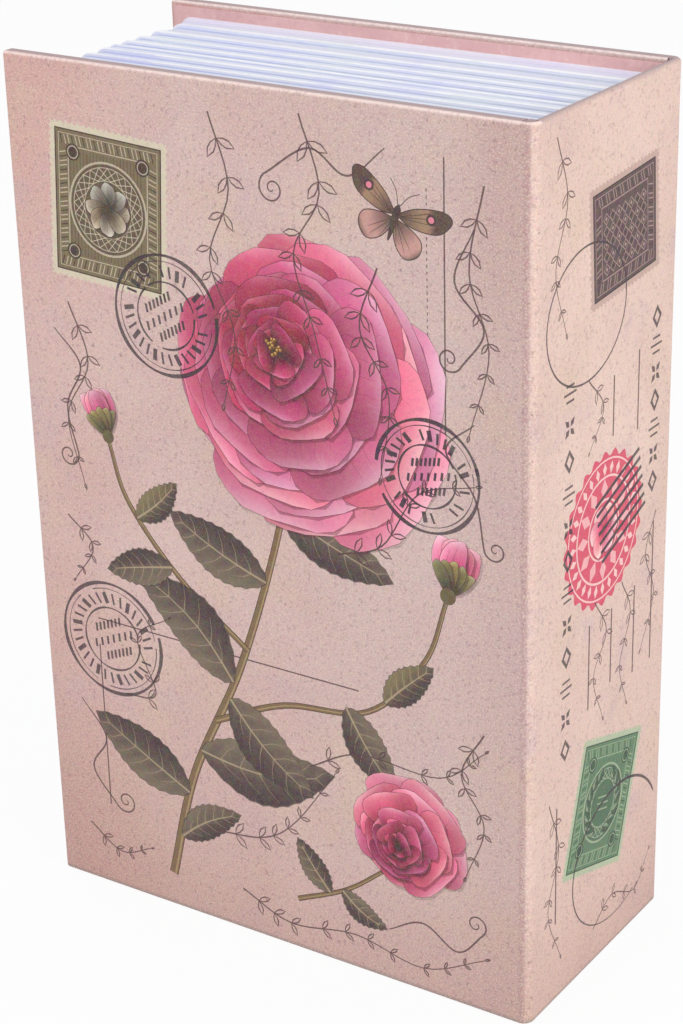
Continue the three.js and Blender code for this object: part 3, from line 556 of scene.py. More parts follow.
def moth(s, z, turn, size, tones):
    """A moth with its wings spread."""
    dark, light, pale = tones
    fore_wing = [(0, 0.5), (3.5, 3.4), (8.5, 5.4), (10.8, 4.6), (9.6, 1.6), (6.8, 0.2), (3, -0.3)]
    hind_wing = [(0, -0.3), (3.4, -0.6), (6.4, -2.0), (6.6, -4.6), (4.4, -6.4), (2.0, -5.2), (0.4, -2.6)]
    for side in (-1, 1):
        for knots, t in ((fore_wing, light), (hind_wing, pale)):
            shape = curve([*knots, knots[0]], 42)
            shape = shape * (side * size, size)
            centre = placed([(0, 0)], s, z)[0]

            def shade(points, t=t):
                d = np.hypot(*(points - centre).T) / size
                colour = between(dark, t, d / 5.5)
                return between(colour, dark, np.clip(d - 7.2, 0, 1) * 0.8)

            printed([placed(shape, s, z, turn)], shade, 0.7)
            stroke(placed(shape, s, z, turn), 0.2, dark, closed=True)
        for a, r in ((0.42, 9.8), (0.28, 8.6), (0.55, 8.2), (-0.75, 6.4), (-0.95, 6.6), (-1.2, 5.6)):
            tip = np.array((side * math.cos(a) * r, math.sin(a) * r)) * size
            vein = placed([tip * 0.12, tip * 0.5, tip], s, z, turn)
            stroke(vein, (0.2, 0.16, 0.06), dark * (1, 1, 1, 0.7))
        spot = placed([(side * 6.8 * size, 2.9 * size)], s, z, turn)[0]
        printed([placed(ring(1.05 * size, 22), *spot)], dark)
        printed([placed(ring(0.6 * size, 18), *spot)], tone(226, 130, 150))
        feeler = curve([(0.2 * side, 2.2), (1.4 * side, 4.6), (3.2 * side, 6.2)], 10) * size
        stroke(placed(feeler, s, z, turn), 0.16, dark)
    flank = [(0.75, 1.4), (0.7, -0.8), (0.3, -4.2)]
    body = [(0, 2.6), *flank, (0, -4.8), *[(-x, y) for x, y in flank[::-1]], (0, 2.6)]
    printed([placed(curve(body, 40) * size, s, z, turn)], dark)


def berry(s, z, radius, tones):
    dark, light, pale = tones
    shine = np.array((s - 0.3 * radius, z + 0.35 * radius))

    def shade(points):
        d = np.hypot(*(points - shine).T) / radius
        return between(between(pale, light, d / 0.45), dark, (d - 0.35) / 0.8)

    printed([placed(ring(radius, 24), s, z)], shade, 0.5)
    stroke(placed(ring(radius, 24), s, z), 0.14, dark * (0.7, 0.7, 0.7, 0.8), closed=True)


def stem(knots, width=1.5):
    path = curve(knots, 36)
    taper = np.linspace(width, width * 0.55, len(path))
    stroke(path, taper + 0.35, tone(78, 58, 44))
    stroke(path, taper, stem_tone)
    stroke(path + (0.22 * width, 0), taper * 0.25, tone(176, 150, 110, 0.8))


def bud(s, z, turn, size):
    c, d = math.cos(turn), math.sin(turn)
    for a in (-0.32, 0.32, -0.14, 0.16, 0.0):
        petal(s, z, turn + a, 9.5 * size, 4.6 * size, pinks, dice, 3, 0.8)
    sepal = (tone(60, 52, 36), tone(118, 106, 62), tone(160, 148, 92))
    for a in (-0.62, -0.3, 0.02, 0.34, 0.64):
        petal(s - 0.6 * size * c, z - 0.6 * size * d, turn + a, 6.2 * size, 2.2 * size, sepal, dice, 1, 0.8)
    printed([placed(ring(1.5 * size, 18), s - 0.9 * size * c, z - 0.9 * size * d)], tone(96, 86, 54))


def ornament_run(s, low_z, high_z, colour, step=6.4):
    """A printer's border: diamonds, four-leaved fleurons and short bars, in turn up a line."""
    for k in range(int((high_z - low_z) / step)):
        z = low_z + step * (k + 0.5)
        kind = k % 3
        if kind == 0:
            printed([placed([(-1.9, 0), (0, -2.4), (1.9, 0), (0, 2.4)], s, z),
                     placed([(-1.0, 0), (0, 1.3), (1.0, 0), (0, -1.3)], s, z)], colour)
        elif kind == 1:
            for a in range(4):
                lens = [(0.3, 0), (1.2, 0.62), (2.5, 0), (1.2, -0.62)]
                printed([placed(lens, s, z, math.pi / 4 + a * math.pi / 2)], colour)
        else:
            for y, half in ((-1.5, 1.5), (0, 2.3), (1.5, 1.5)):
                stroke([(s - half, z + y), (s + half, z + y)], 0.45, colour)


# The front of the sheet: a spray with a great flower and a small one, a label, ring
# marks and a moth, between pen lines and fine sprigs.
for path in ([(98, 172), (98, 118)], [(14, 64), (78, 64)], [(14, 20), (14, 58)]):
    stroke(path, 0.32, ink_brown)
for k in range(46):
    stroke([(94.4, 166 - k * 1.25), (94.4, 165.45 - k * 1.25)], 0.22, ink_brown)
label_paper = tone(216, 204, 180)
printed_label(23.5, 152, -0.06, 28, 31, (label_paper, tone(118, 104, 76), tone(60, 46, 34)))

stem([(30, 8), (37, 34), (50, 62), (60, 92), (64, 112)], 1.9)
stem([(43, 48), (60, 56), (80, 60), (93, 74), (98, 88)], 1.2)
stem([(52, 66), (36, 78), (24, 92), (20, 104)], 1.1)
dry_greens = (leaf_dark, tone(146, 134, 88), leaf_line)
for s, z, turn, length, width in (
    (35.5, 29, 2.65, 27, 11.5), (39, 40, 0.10, 33, 13.5), (48, 58, 2.45, 30, 12.5), (47, 54, -0.72, 26, 11),
    (57, 82, 2.72, 25, 10.5), (61, 98, -0.35, 27, 10.5), (75, 59.5, -0.95, 20, 8.5), (84, 63, 0.75, 15, 6.5),
    (34, 80, -2.9, 17, 7.5), (26, 89, 0.75, 14, 6.0), (33, 18, 0.55, 18, 7.0),
):
    leaf(s, z, turn, length, width, greens if length > 16 else dry_greens, dice)
bud(98.5, 90, 1.35, 1.15)
bud(19.6, 106, 1.9, 0.95)
stem([(62, 12), (74, 18), (84, 26)], 0.9)
leaf(70, 16, 2.2, 13, 5.5, greens, dice, 5)
leaf(73, 17.5, -0.5, 12, 5, greens, dice, 5)
small_rings = ((1.0, 8, 1.6), (0.78, 8, 1.5), (0.56, 7, 1.5), (0.36, 6, 1.5), (0.2, 5, 1.5))
bloom(88, 34, 12.5, small_rings, 0.9, pinks, 2)
great_rings = (
    (1.0, 10, 1.62), (0.88, 9, 1.6), (0.75, 9, 1.55), (0.62, 8, 1.5),
    (0.49, 8, 1.5), (0.37, 7, 1.5), (0.26, 6, 1.5), (0.16, 5, 1.5),
)
bloom(66, 126, 29.5, great_rings, -0.75, pinks, 5)
pollen = (tone(110, 60, 26), tone(200, 150, 66), tone(240, 214, 130))
for _ in range(26):
    a, r = dice.uniform(0, 6.28), dice.uniform(0, 1.9)
    berry(60.6 + r * math.cos(a), 131.2 + r * math.sin(a), 0.42, pollen)

for knots, size, pairs in (
    ([(48, 174), (52, 160), (47, 146), (52, 132), (49, 118)], 4.2, 8),
    ([(68, 176), (72, 162), (66, 150), (70, 136), (74, 120)], 4.4, 9),
    ([(84, 150), (80, 138), (86, 126), (84, 110)], 4.0, 7),
    ([(106, 168), (103, 152), (107, 138), (103, 122)], 3.6, 7),
    ([(12, 132), (16, 120), (10, 108), (13, 94)], 3.6, 6),
    ([(8, 86), (14, 80), (9, 72)], 3.0, 4),
    ([(74, 92), (84, 96), (92, 108), (104, 112)], 3.8, 6),
    ([(106, 62), (101, 52), (106, 42), (102, 30)], 3.4, 6),
    ([(20, 48), (28, 50), (24, 62), (32, 68)], 3.2, 4),
    ([(42, 22), (54, 24), (62, 30), (72, 44)], 3.8, 6),
    ([(48, 10), (60, 5.5), (76, 8), (92, 5.5), (106, 12)], 3.2, 10),
    ([(8, 14), (16, 9), (24, 12)], 2.8, 4),
    ([(66, 44), (78, 50), (96, 50), (106, 58)], 3.2, 6),
):
    sprig(knots, ink_brown, size, pairs)
for knots, curl, turns, hand in (
    ([(104, 160), (100, 150), (106, 142), (101, 134)], 2.6, 1.7, -1),
    ([(86, 172), (78, 166), (70, 170), (60, 164)], 3.0, 1.8, 1),
    ([(8, 126), (14, 119), (10, 110), (12, 100)], 2.6, 1.7, -1),
    ([(104, 124), (98, 118), (104, 110), (106, 100)], 2.4, 1.6, 1),
    ([(8, 44), (14, 36), (10, 28), (16, 20)], 2.8, 1.8, 1),
    ([(84, 12), (92, 16), (100, 12), (106, 18)], 2.4, 1.6, 1),
):
    tendril(knots, 0.42, ink_brown, curl, turns, hand)
moth_tones = (tone(64, 46, 42), tone(160, 126, 100), tone(198, 150, 140))
moth(88, 160, -0.35, 1.0, moth_tones)
ring_mark(36, 133, 12.0, -2.6, purple)
ring_mark(17.5, 60, 12.5, 0.4, purple)
ring_mark(94, 112, 11.0, 0.2, purple)

# The spine of the sheet: a dark lattice label, a red rosette and a green label, with
# rules, borders and sprigs.
spine_edge = 117.4
lattice_tones = (tone(196, 166, 156), tone(84, 62, 66), tone(44, 30, 34))
printed_label(spine_edge + 31, 153, 0.07, 27, 23, lattice_tones, "lattice")
stroke(placed(ring(15, 56) * (1, 0.86), spine_edge + 17, 141), 0.4, purple, closed=True)
rosette_red, rosette_pale = tone(214, 48, 92), tone(244, 200, 196)
at = (spine_edge + 25, 96)
scallop = 1 + 0.045 * np.cos(24 * np.linspace(0, 2 * math.pi, 120, endpoint=False))
printed([placed(ring(15.2, 120) * scallop[:, None], *at)], rosette_red * (1, 1, 1, 0.92))
for r, width in ((14.0, 0.35), (10.6, 0.45), (6.0, 0.4)):
    stroke(placed(ring(r, 56), *at), width, rosette_pale, closed=True)
outer_lens = [(10.9, 0), (12.2, 0.75), (13.5, 0), (12.2, -0.75)]
inner_lens = [(6.2, 0), (8.2, 1.3), (10.4, 0), (8.2, -1.3)]
for lens, count, colour in ((outer_lens, 28, rosette_pale), (inner_lens, 12, tone(240, 176, 178))):
    for k in range(count):
        printed([placed(lens, *at, 2 * math.pi * k / count)], colour)
for k in range(6):
    heart = (rosette_red, tone(236, 140, 152), tone(250, 214, 206))
    petal(*at, math.pi / 3 * k, 5.4, 4.4, heart, dice, 1, 0.8)
for k in range(7):
    y = -6.3 + 2.1 * k
    stroke(placed([(-2, y), (16.5, y + 1.6)], *at, 0.25), 0.85, purple)
wreath_tones = (tone(178, 190, 160), tone(88, 124, 92), tone(34, 74, 50))
printed_label(spine_edge + 27, 36, -0.30, 26, 29, wreath_tones, "wreath")
ornament_run(spine_edge + 11, 52, 132, purple, 6.6)
ornament_run(spine_edge + 45, 96, 140, purple, 5.6)
for s, low_z, high_z in (
    (20, 60, 78), (29, 62, 78), (38.5, 60, 79), (46, 60, 90), (38, 112, 128), (28, 114, 126), (8, 18, 44),
):
    stroke([(spine_edge + s, low_z), (spine_edge + s, high_z)], 0.5, ink_brown)
t = np.linspace(0.4, 5.2, 60)
arc = np.column_stack((18 * np.cos(t), 15 * np.sin(t)))
stroke(placed(arc, spine_edge + 33, 22), 0.45 + 0.2 * np.sin(t), purple)
for knots, size, pairs in (
    ([(5, 176), (9, 164), (5, 152), (9, 140)], 3.4, 6),
    ([(18, 128), (24, 121), (19, 114)], 2.8, 4),
    ([(47, 92), (43, 84), (47, 74), (42, 64)], 3.2, 5),
    ([(22, 82), (27, 74), (22, 66), (26, 56)], 3.2, 5),
    ([(33, 82), (37, 74), (33, 64), (36, 55)], 3.0, 5),
    ([(5, 46), (9, 34), (5, 22), (10, 10)], 3.2, 6),
    ([(24, 8), (32, 12), (42, 8), (48, 14)], 2.8, 5),
):
    sprig([(spine_edge + s, z) for s, z in knots], ink_brown, size, pairs, 0.32)

# The back of the sheet: a sparser spray with one flower and a bud, a label, ring
# marks and a moth.
back_edge = 172.3
stem([(back_edge + 84, 10), (back_edge + 74, 40), (back_edge + 60, 74), (back_edge + 52, 104)], 1.7)
stem([(back_edge + 72, 44), (back_edge + 90, 62), (back_edge + 94, 84)], 1.1)
for s, z, turn, length, width in (
    (80, 22, 2.5, 26, 11), (78, 28, 0.35, 25, 10.5), (70, 50, 2.75, 29, 12), (64, 66, 0.5, 24, 10),
    (57, 84, 2.6, 24, 9.5), (82, 54, -0.5, 17, 7), (92, 72, 2.3, 14, 6),
):
    leaf(back_edge + s, z, turn, length, width, greens, dice)
bud(back_edge + 94.5, 87, 1.5, 1.2)
back_rings = ((1.0, 9, 1.6), (0.82, 8, 1.6), (0.64, 8, 1.5), (0.47, 7, 1.5), (0.32, 6, 1.5), (0.19, 5, 1.5))
bloom(back_edge + 49, 118, 19, back_rings, 2.4, pinks, 3)
russet_tones = (label_paper, tone(132, 92, 84), tone(76, 38, 40))
printed_label(back_edge + 92, 150, 0.08, 26, 29, russet_tones, "wreath")
ring_mark(back_edge + 78, 134, 12, 2.4, purple, 5, 22)
ring_mark(back_edge + 24, 46, 13, 0.5, purple)
moth(back_edge + 20, 152, 0.5, 1.1, moth_tones)
for knots, size, pairs in (
    ([(10, 132), (15, 118), (9, 104), (13, 90)], 3.8, 7),
    ([(28, 84), (34, 74), (28, 62), (33, 50)], 3.8, 6),
    ([(104, 124), (100, 112), (105, 100), (102, 90)], 3.4, 6),
    ([(10, 28), (22, 18), (38, 22), (54, 14)], 3.6, 8),
    ([(36, 172), (48, 166), (60, 172), (72, 164)], 3.6, 7),
    ([(102, 60), (106, 46), (101, 32), (105, 18)], 3.4, 6),
):
    sprig([(back_edge + s, z) for s, z in knots], ink_brown, size, pairs)
stroke([(back_edge + 12, 66), (back_edge + 44, 66)], 0.32, ink_brown)


# Front cover: a board of 1.9 mm covered in the printed paper, which goes round its
# edges and is glued down inside. The print on it is one sheet with the spine's.
book_wide, book_deep, book_high = 116.0, 56.0, 180.0
fold_radius = 2.4
fold_length = fold_radius * math.pi / 2
spine_flat = book_deep - 2 * fold_radius
front_flat = book_wide - fold_radius
edge_round = 0.7
inner_round = 0.5
cover_slab = 2.8
spine_slab = 1.6
joint_end = 113.0
fold_1 = front_flat
spine_start = fold_1 + fold_length
spine_end = spine_start + spine_flat
back_start = spine_end + fold_length
sheet_end = back_start + front_flat
fold_x = book_wide / 2 - fold_radius
fold_y = book_deep / 2 - fold_radius


def on_case(s, z, depth):
    """Where a place on the unrolled sheet lies on the closed book, that deep under its face, in metres."""
    s, z, depth = np.broadcast_arrays(np.asarray(s, float), z, depth)
    turn_1 = np.clip((s - fold_1) / fold_radius, 0, math.pi / 2)
    turn_2 = np.clip((s - spine_end) / fold_radius, 0, math.pi / 2)
    turn = turn_1 + turn_2
    x = np.where(s <= fold_1, s - book_wide / 2, fold_x)
    x = np.where(s > back_start, fold_x - (s - back_start), x)
    y = np.where(s <= spine_start, -fold_y, np.where(s >= spine_end, fold_y, -fold_y + s - spine_start))
    reach = fold_radius - depth
    return np.stack((x + reach * np.sin(turn), y - reach * np.cos(turn), z), -1) * 0.001


def inside(points, outlines):
    """Which points the outlines wind round."""
    winding = np.zeros(len(points), int)
    px, pz = points[:, 0][:, None], points[:, 1][:, None]
    for loop in outlines:
        ax, az = loop.T
        bx, bz = np.roll(loop, -1, 0).T
        left = (bx - ax) * (pz - az) - (px - ax) * (bz - az)
        winding += ((az <= pz) & (bz > pz) & (left > 0)).sum(1)
        winding -= ((az > pz) & (bz <= pz) & (left < 0)).sum(1)
    return winding != 0


def inked_flat(low_s, high_s, low_z, high_z, folds):
    """The sheet's print between those places, as triangles with ink colours at their corners."""
    points = [(low_s, low_z), (high_s, low_z), (high_s, high_z), (low_s, high_z)]
    edges = [(0, 1), (1, 2), (2, 3), (3, 0)]
    for s in folds:
        edges.append((len(points), len(points) + 1))
        points += [(s, low_z), (s, high_z)]
    inked = []
    for outlines, colour, spacing in sheet:
        low = np.min([o.min(0) for o in outlines], 0)
        high = np.max([o.max(0) for o in outlines], 0)
        if high[0] > low_s and low[0] < high_s:
            inked.append((outlines, colour, spacing, low, high))
    used = []
    for k, (outlines, colour, spacing, low, high) in enumerate(inked):
        over = [o for o in inked[k + 1:] if o[2] and (o[3] < high).all() and (o[4] > low).all()]
        every = np.vstack(outlines)
        if any(inside(every, o[0]).all() for o in over if (o[3] <= low).all() and (o[4] >= high).all()):
            continue
        used.append((outlines, colour, low, high))
        for loop in outlines:
            first = len(points)
            points += [tuple(p) for p in loop]
            edges += [(first + i, first + (i + 1) % len(loop)) for i in range(len(loop))]
        if spacing:
            across = np.arange(math.ceil(low[0] / spacing), high[0] / spacing) * spacing
            up = np.arange(math.ceil(low[1] / spacing), high[1] / spacing) * spacing
            if len(across) and len(up):
                grid = np.stack(np.meshgrid(across, up), -1)
                grid[1::2, :, 0] += spacing / 2
                grid = grid.reshape(-1, 2)
                grid = grid[inside(grid, outlines)]
                for o in over:
                    if len(grid):
                        grid = grid[~inside(grid, o[0])]
                points += [tuple(p) for p in grid]
    verts, _, faces, _, _, _ = delaunay_2d_cdt([Vector(p) for p in points], edges, [], 0, 1e-5)
    verts = np.array([tuple(v) for v in verts])
    faces = np.array(faces)
    centres = verts[faces].mean(1)
    kept = ((centres > (low_s, low_z)) & (centres < (high_s, high_z))).all(1)
    faces, centres = faces[kept], centres[kept]
    a, b, c = (verts[faces[:, i]] for i in range(3))
    double = (b[:, 0] - a[:, 0]) * (c[:, 1] - a[:, 1]) - (c[:, 0] - a[:, 0]) * (b[:, 1] - a[:, 1])
    faces[double < 0] = faces[double < 0][:, ::-1]
    keep = np.abs(double) > 1e-9
    faces, centres = faces[keep], centres[keep]
    ink = np.zeros((len(faces), 3, 4))
    for outlines, colour, low, high in used:
        near = np.nonzero(((centres > low) & (centres < high)).all(1))[0]
        if not len(near):
            continue
        near = near[inside(centres[near], outlines)]
        if callable(colour):
            over = colour(verts[faces[near]].reshape(-1, 2)).reshape(-1, 3, 4)
        else:
            over = np.broadcast_to(colour, (len(near), 3, 4))
        share = over[..., 3:]
        under = ink[near]
        total = share + under[..., 3:] * (1 - share)
        laid_over = over[..., :3] * share + under[..., :3] * under[..., 3:] * (1 - share)
        ink[near, :, :3] = laid_over / np.maximum(total, 1e-6)
        ink[near, :, 3:] = total
    seen = ink[..., :3]
    ink[..., :3] = np.where(seen <= 0.04045, seen / 12.92, ((seen + 0.055) / 1.055) ** 2.4)
    return verts, faces, ink


def wrapped_piece(name, low_s, high_s, slab, turned_low=False, turned_high=False, folds=(), highlights=(0, 0)):
    """A stretch of the case: its printed face, its round edges and its plain inner face.

    The edges are round at head and tail and at any side that is turned in.
    """
    low = low_s + (edge_round if turned_low else 0)
    high = high_s - (edge_round if turned_high else 0)
    foot, head = edge_round, book_high - edge_round
    verts, faces, ink = inked_flat(low, high, foot, head, folds)
    number = {}
    for v in faces.ravel():
        number.setdefault(int(v), len(number))
    place = verts[list(number)]
    faces = [[number[int(v)] for v in face] for face in faces]

    # The border of the flat, in order, with the ink at each end of its edges
    directed = {}
    for face, colours in zip(faces, ink):
        for i in range(3):
            directed[(face[i], face[(i + 1) % 3])] = (colours[i], colours[(i + 1) % 3])
    follow = {a: (b, ends) for (a, b), ends in directed.items() if (b, a) not in directed}
    start = min(follow, key=lambda v: (place[v] - (low, foot)) @ (1, 1))
    border, here = [], start
    while True:
        there, ends = follow[here]
        border.append((here, ends))
        here = there
        if here == start:
            break

    def side_of(a, b):
        middle = (place[a] + place[b]) / 2
        gaps = (abs(middle[1] - foot), abs(middle[0] - high), abs(middle[1] - head), abs(middle[0] - low))
        return int(np.argmin(gaps))

    unrolled = np.array(((0.0, -1.0), (1.0, 0.0), (0.0, 1.0), (-1.0, 0.0)))
    turned_in = np.array((True, turned_high, True, turned_low))
    outward = np.where(turned_in[:, None], unrolled, 0.0)
    stations = []
    count = len(border)
    for i, (v, ends) in enumerate(border):
        came = side_of(border[i - 1][0], v)
        goes = side_of(v, border[(i + 1) % count][0])
        if came == goes:
            stations.append((v, outward[goes], unrolled[goes], ends[0]))
            continue
        rounded = turned_in[came] and turned_in[goes]
        for share in (0, 1 / 3, 2 / 3, 1) if rounded else (0, 1):
            lean = math.pi / 2 * share
            way = outward[came] * math.cos(lean) + outward[goes] * math.sin(lean)
            laid = unrolled[came] * math.cos(lean) + unrolled[goes] * math.sin(lean)
            stations.append((v, way, laid, border[i - 1][1][1] if share < 1 else ends[0]))

    # The rows round the edge: how far out and how deep each lies, how much painted highlight it takes, how
    # much it is darkened (partly soiling, partly painted shade), and how much more it is darkened on foot
    # sides and on heads without a highlight
    outer_highlight, inner_highlight = highlights
    rows = []
    for t in (0.25, 0.5, 0.75, 1.0):
        lean = t * math.pi / 2
        out, depth = edge_round * math.sin(lean), edge_round * (1 - math.cos(lean))
        rows.append((out, depth, outer_highlight * math.sin(math.pi * t) ** 2, max(0, 2 * t - 1) ** 2, t))
    for t, highlight_weight in ((0.0, 0.0), (0.4, 0.9), (0.7, 1.0), (1.0, 0.5)):
        lean = t * math.pi / 2
        out = edge_round - inner_round * (1 - math.cos(lean))
        depth = slab - inner_round * (1 - math.sin(lean))
        rows.append((out, depth, inner_highlight * highlight_weight, 1.0 + (-t if inner_highlight else 0.35 * t), 1.0))
    flat_count = len(place)
    total = len(stations)
    s_z = [place]
    depths = [np.zeros(flat_count)]
    worn, soil_and_shade = [np.zeros(flat_count)], [np.zeros(flat_count)]
    base = np.array([place[v] for v, _, _, _ in stations])
    ways = np.array([way for _, way, _, _ in stations])
    laid = np.array([way for _, _, way, _ in stations])
    paint = np.array([colour for _, _, _, colour in stations])
    # Painted light on the edges: a painted highlight on the rounded top edges, where the lamps would catch
    # them, kept in the "worn" attribute; and darkened faces, partly soiling and partly painted shade.
    heads = np.clip(ways[:, 1], 0.0, 1.0)
    grimy_and_shaded = np.maximum(np.clip(-ways[:, 1], 0.0, 1.0), 0.0 if outer_highlight else heads)
    for out, depth, highlight_share, soil_and_shade_level, grime_and_shade in rows:
        s_z.append(base + ways * out)
        depths.append(np.full(total, depth))
        worn.append(highlight_share * heads)
        soil_and_shade.append(np.maximum(soil_and_shade_level, grime_and_shade * grimy_and_shaded))
    s_z, depths = np.vstack(s_z), np.concatenate(depths)
    worn, soil_and_shade = np.concatenate(worn), np.concatenate(soil_and_shade)

    uv_margin, uv_inset = 4, 0.01
    scale = (1 - 2 * uv_inset) / (book_high + 2 * uv_margin)
    profile = np.array([(0.0, 0.0), *((out, depth) for out, depth, _, _, _ in rows)])
    rim = np.concatenate(([0.0], np.cumsum(np.hypot(*np.diff(profile, axis=0).T))))

    def flat_uv(points):
        return (points - (low - uv_margin, foot - uv_margin)) * scale + uv_inset

    loops, colours, uvs, smooth = [], [], [], []
    for face, corner in zip(faces, ink):
        loops.append(face)
        colours += list(corner)
        uvs += list(flat_uv(place[face]))
        smooth.append(bool(folds))
    for i in range(total):
        j = (i + 1) % total
        a, b = stations[i][0], stations[j][0]
        for row in range(len(rows)):
            upper = flat_count + (row - 1) * total
            lower = flat_count + row * total
            if row == 0:
                edge_loop = [a, lower + i, lower + j] + ([b] if a != b else [])
            else:
                edge_loop = [upper + i, lower + i, lower + j, upper + j]
            loops.append(edge_loop)
            corners = ((i, rim[row]), (i, rim[row + 1]), (j, rim[row + 1]), (j, rim[row]))[:len(edge_loop)]
            colours += [paint[k] for k, _ in corners]
            uvs += [flat_uv(base[k] + laid[k] * reach) for k, reach in corners]
            smooth.append(True)
    last = flat_count + (len(rows) - 1) * total
    inner = s_z[last:last + total]
    inner_edges = [(i, (i + 1) % total) for i in range(total)]
    for s in folds:
        ends = np.nonzero(np.abs(inner[:, 0] - s) < 1e-4)[0]
        if len(ends) >= 2:
            inner_edges.append((int(ends[np.argmin(inner[ends, 1])]), int(ends[np.argmax(inner[ends, 1])])))
    beside = ((high - low + 2 * uv_margin + 1) * scale, 0.0)
    _, _, inner_faces, origin, _, _ = delaunay_2d_cdt([Vector(p) for p in inner], inner_edges, [], 1, 1e-7)
    for face in inner_faces:
        index = [origin[v][0] for v in face]
        area = np.cross(inner[index[1]] - inner[index[0]], inner[index[2]] - inner[index[0]])
        index = index if area < 0 else index[::-1]
        loops.append([last + k for k in index])
        colours += [np.zeros(4)] * len(index)
        uvs += [flat_uv(inner[k]) * 0.5 + beside for k in index]
        smooth.append(bool(folds))

    mesh = bpy.data.meshes.new(name)
    mesh.from_pydata([tuple(p) for p in on_case(s_z[:, 0], s_z[:, 1], depths)], [], loops)
    ink_layer = mesh.color_attributes.new("ink", "FLOAT_COLOR", "CORNER")
    ink_layer.data.foreach_set("color", np.array(colours).ravel())
    for title, values in (("worn", worn), ("soil_and_shade", soil_and_shade)):
        mesh.attributes.new(title, "FLOAT", "POINT").data.foreach_set("value", values)
    mesh.uv_layers.new(name="OFBake").data.foreach_set("uv", np.array(uvs).ravel())
    mesh.polygons.foreach_set("use_smooth", smooth)
    mesh.update()
    mesh.set_sharp_from_angle(angle=math.radians(40))
    return put_down(name, mesh)


def mixed(first, second, share, way="MIX"):
    return Wire.node(
        "ShaderNodeMix",
        {"data_type": "RGBA", "blend_type": way, "clamp_factor": True},
        {0: share, 6: first, 7: second},
        2,
    )


def srgb(red, green, blue):
    """A colour as it is read off a screen, 0 to 255, in linear light."""
    return tuple(
        c / 12.92 if c <= 0.04045 else ((c + 0.055) / 1.055) ** 2.4
        for c in (red / 255, green / 255, blue / 255)
    ) + (1.0,)


def wired(made, **patterns):
    shader = made.node_tree.nodes["Principled BSDF"]
    for socket, wire in patterns.items():
        made.node_tree.links.new(wire.socket, shader.inputs[socket.replace("_", " ")])


def object_place():
    return Wire.node("ShaderNodeTexCoord", output="Object")


def axis(place, which):
    return Wire.node("ShaderNodeSeparateXYZ", None, {0: place}, which)


def speckle(place, scale, detail=2.0, roughness=0.5, output=0):
    """Noise between about 0.3 and 0.7, at that many spots a metre."""
    sockets = {"Vector": place, "Scale": scale, "Detail": detail, "Roughness": roughness}
    return Wire.node("ShaderNodeTexNoise", None, sockets, output)


def bumped(height, strength, distance):
    sockets = {"Height": height, "Strength": strength, "Distance": distance}
    return Wire.node("ShaderNodeBump", None, sockets)


def attribute(name, output="Fac"):
    return Wire.node("ShaderNodeAttribute", {"attribute_name": name}, None, output)


printed_paper = material("printed paper", Specular_IOR_Level=0.35)
here = object_place()
here_x, here_y, here_z = (axis(here, way) for way in range(3))
here_off = Wire.node("ShaderNodeVectorMath", {"operation": "ADD"}, {0: here, 1: (0.31, 0.17, 0.23)})
cloud = speckle(here, 24, 3, 0.55)
warm_cloud = speckle(here_off, 60, 3, 0.6)
cool_cloud = speckle(here, 85, 3, 0.6)
fibre = speckle(here, 1150, 3, 0.7)
grain = speckle(here, 3000, 2, 0.6)
fleck = speckle(here_off, 1250, 1, 0.4)
# The spine's paper is a lighter, warmer copy of the front's: partly its own tone, partly painted light where
# the spine is more strongly lit.
spine_side = here_x.within(0.0563, 0.0576)
rose_paper = mixed(srgb(206, 172, 166), srgb(214, 185, 179), cloud.within(0.36, 0.64))
peach_lit_paper = mixed(srgb(220, 188, 177), srgb(229, 199, 187), cloud.within(0.36, 0.64))
rose_paper = mixed(rose_paper, srgb(205, 178, 173), here_x.within(0.0, 0.030, 0, 0.7))
blush = here_x.within(-0.015, -0.056) * (here_z.within(0.120, 0.165) * 0.45 + 0.30)
rose_paper = mixed(rose_paper, srgb(210, 158, 150), blush)
paper = mixed(rose_paper, peach_lit_paper, spine_side)
paper = mixed(paper, srgb(211, 184, 160), warm_cloud.within(0.50, 0.72, 0, 0.40))
paper = mixed(paper, srgb(196, 166, 176), cool_cloud.within(0.50, 0.26, 0, 0.40))
foot_tone = here_z.within(0.045, 0.0, 0, 0.55)
paper = mixed(paper, srgb(190, 148, 141), foot_tone)
near_fold = here_x.within(0.040, 0.052) * (here_z.within(0.130, 0.165) * 0.28 + 0.22)
paper = mixed(paper, srgb(184, 146, 140), near_fold * here_x.within(0.0572, 0.0562))
low_corner = here_x.within(-0.015, -0.056) * here_z.within(0.070, 0.015)
paper = mixed(paper, srgb(180, 132, 120), low_corner * 0.35)
foot_line = here_z.within(0.0014, 0.0008) * fibre.within(0.3, 0.6, 0.55, 1.0)
paper = mixed(paper, srgb(140, 126, 122), foot_line * 0.6)
crease_band = here_x.within(0.0553, 0.0560) * here_x.within(0.0571, 0.0566)
crease = crease_band * here_y.within(-0.024, -0.026)
paper = mixed(paper, srgb(172, 134, 134), crease * 0.5)
paper = mixed(paper, srgb(150, 108, 104), fleck.within(0.71, 0.77, 0, 0.5))
ink_colour = attribute("ink", "Color")
ink_cover = attribute("ink", "Alpha")
rubbed = grain.within(0.36, 0.50, 0.90, 1.0)
print_colour = mixed(paper, ink_colour, ink_cover * rubbed)
pale_grain = grain.within(0.45, 0.66, 0, 0.32) * (1 - 0.72 * ink_cover)
print_colour = mixed(print_colour, srgb(255, 246, 226), pale_grain)
dark_fibre = fibre.within(0.48, 0.30, 0, 0.31) * (1 - 0.5 * ink_cover)
print_colour = mixed(print_colour, srgb(118, 78, 92), dark_fibre)
specks = speckle(here_off, 900.0, 2.0, 0.6, "Color")
print_colour = mixed(print_colour, specks, 0.048, "LINEAR_LIGHT")
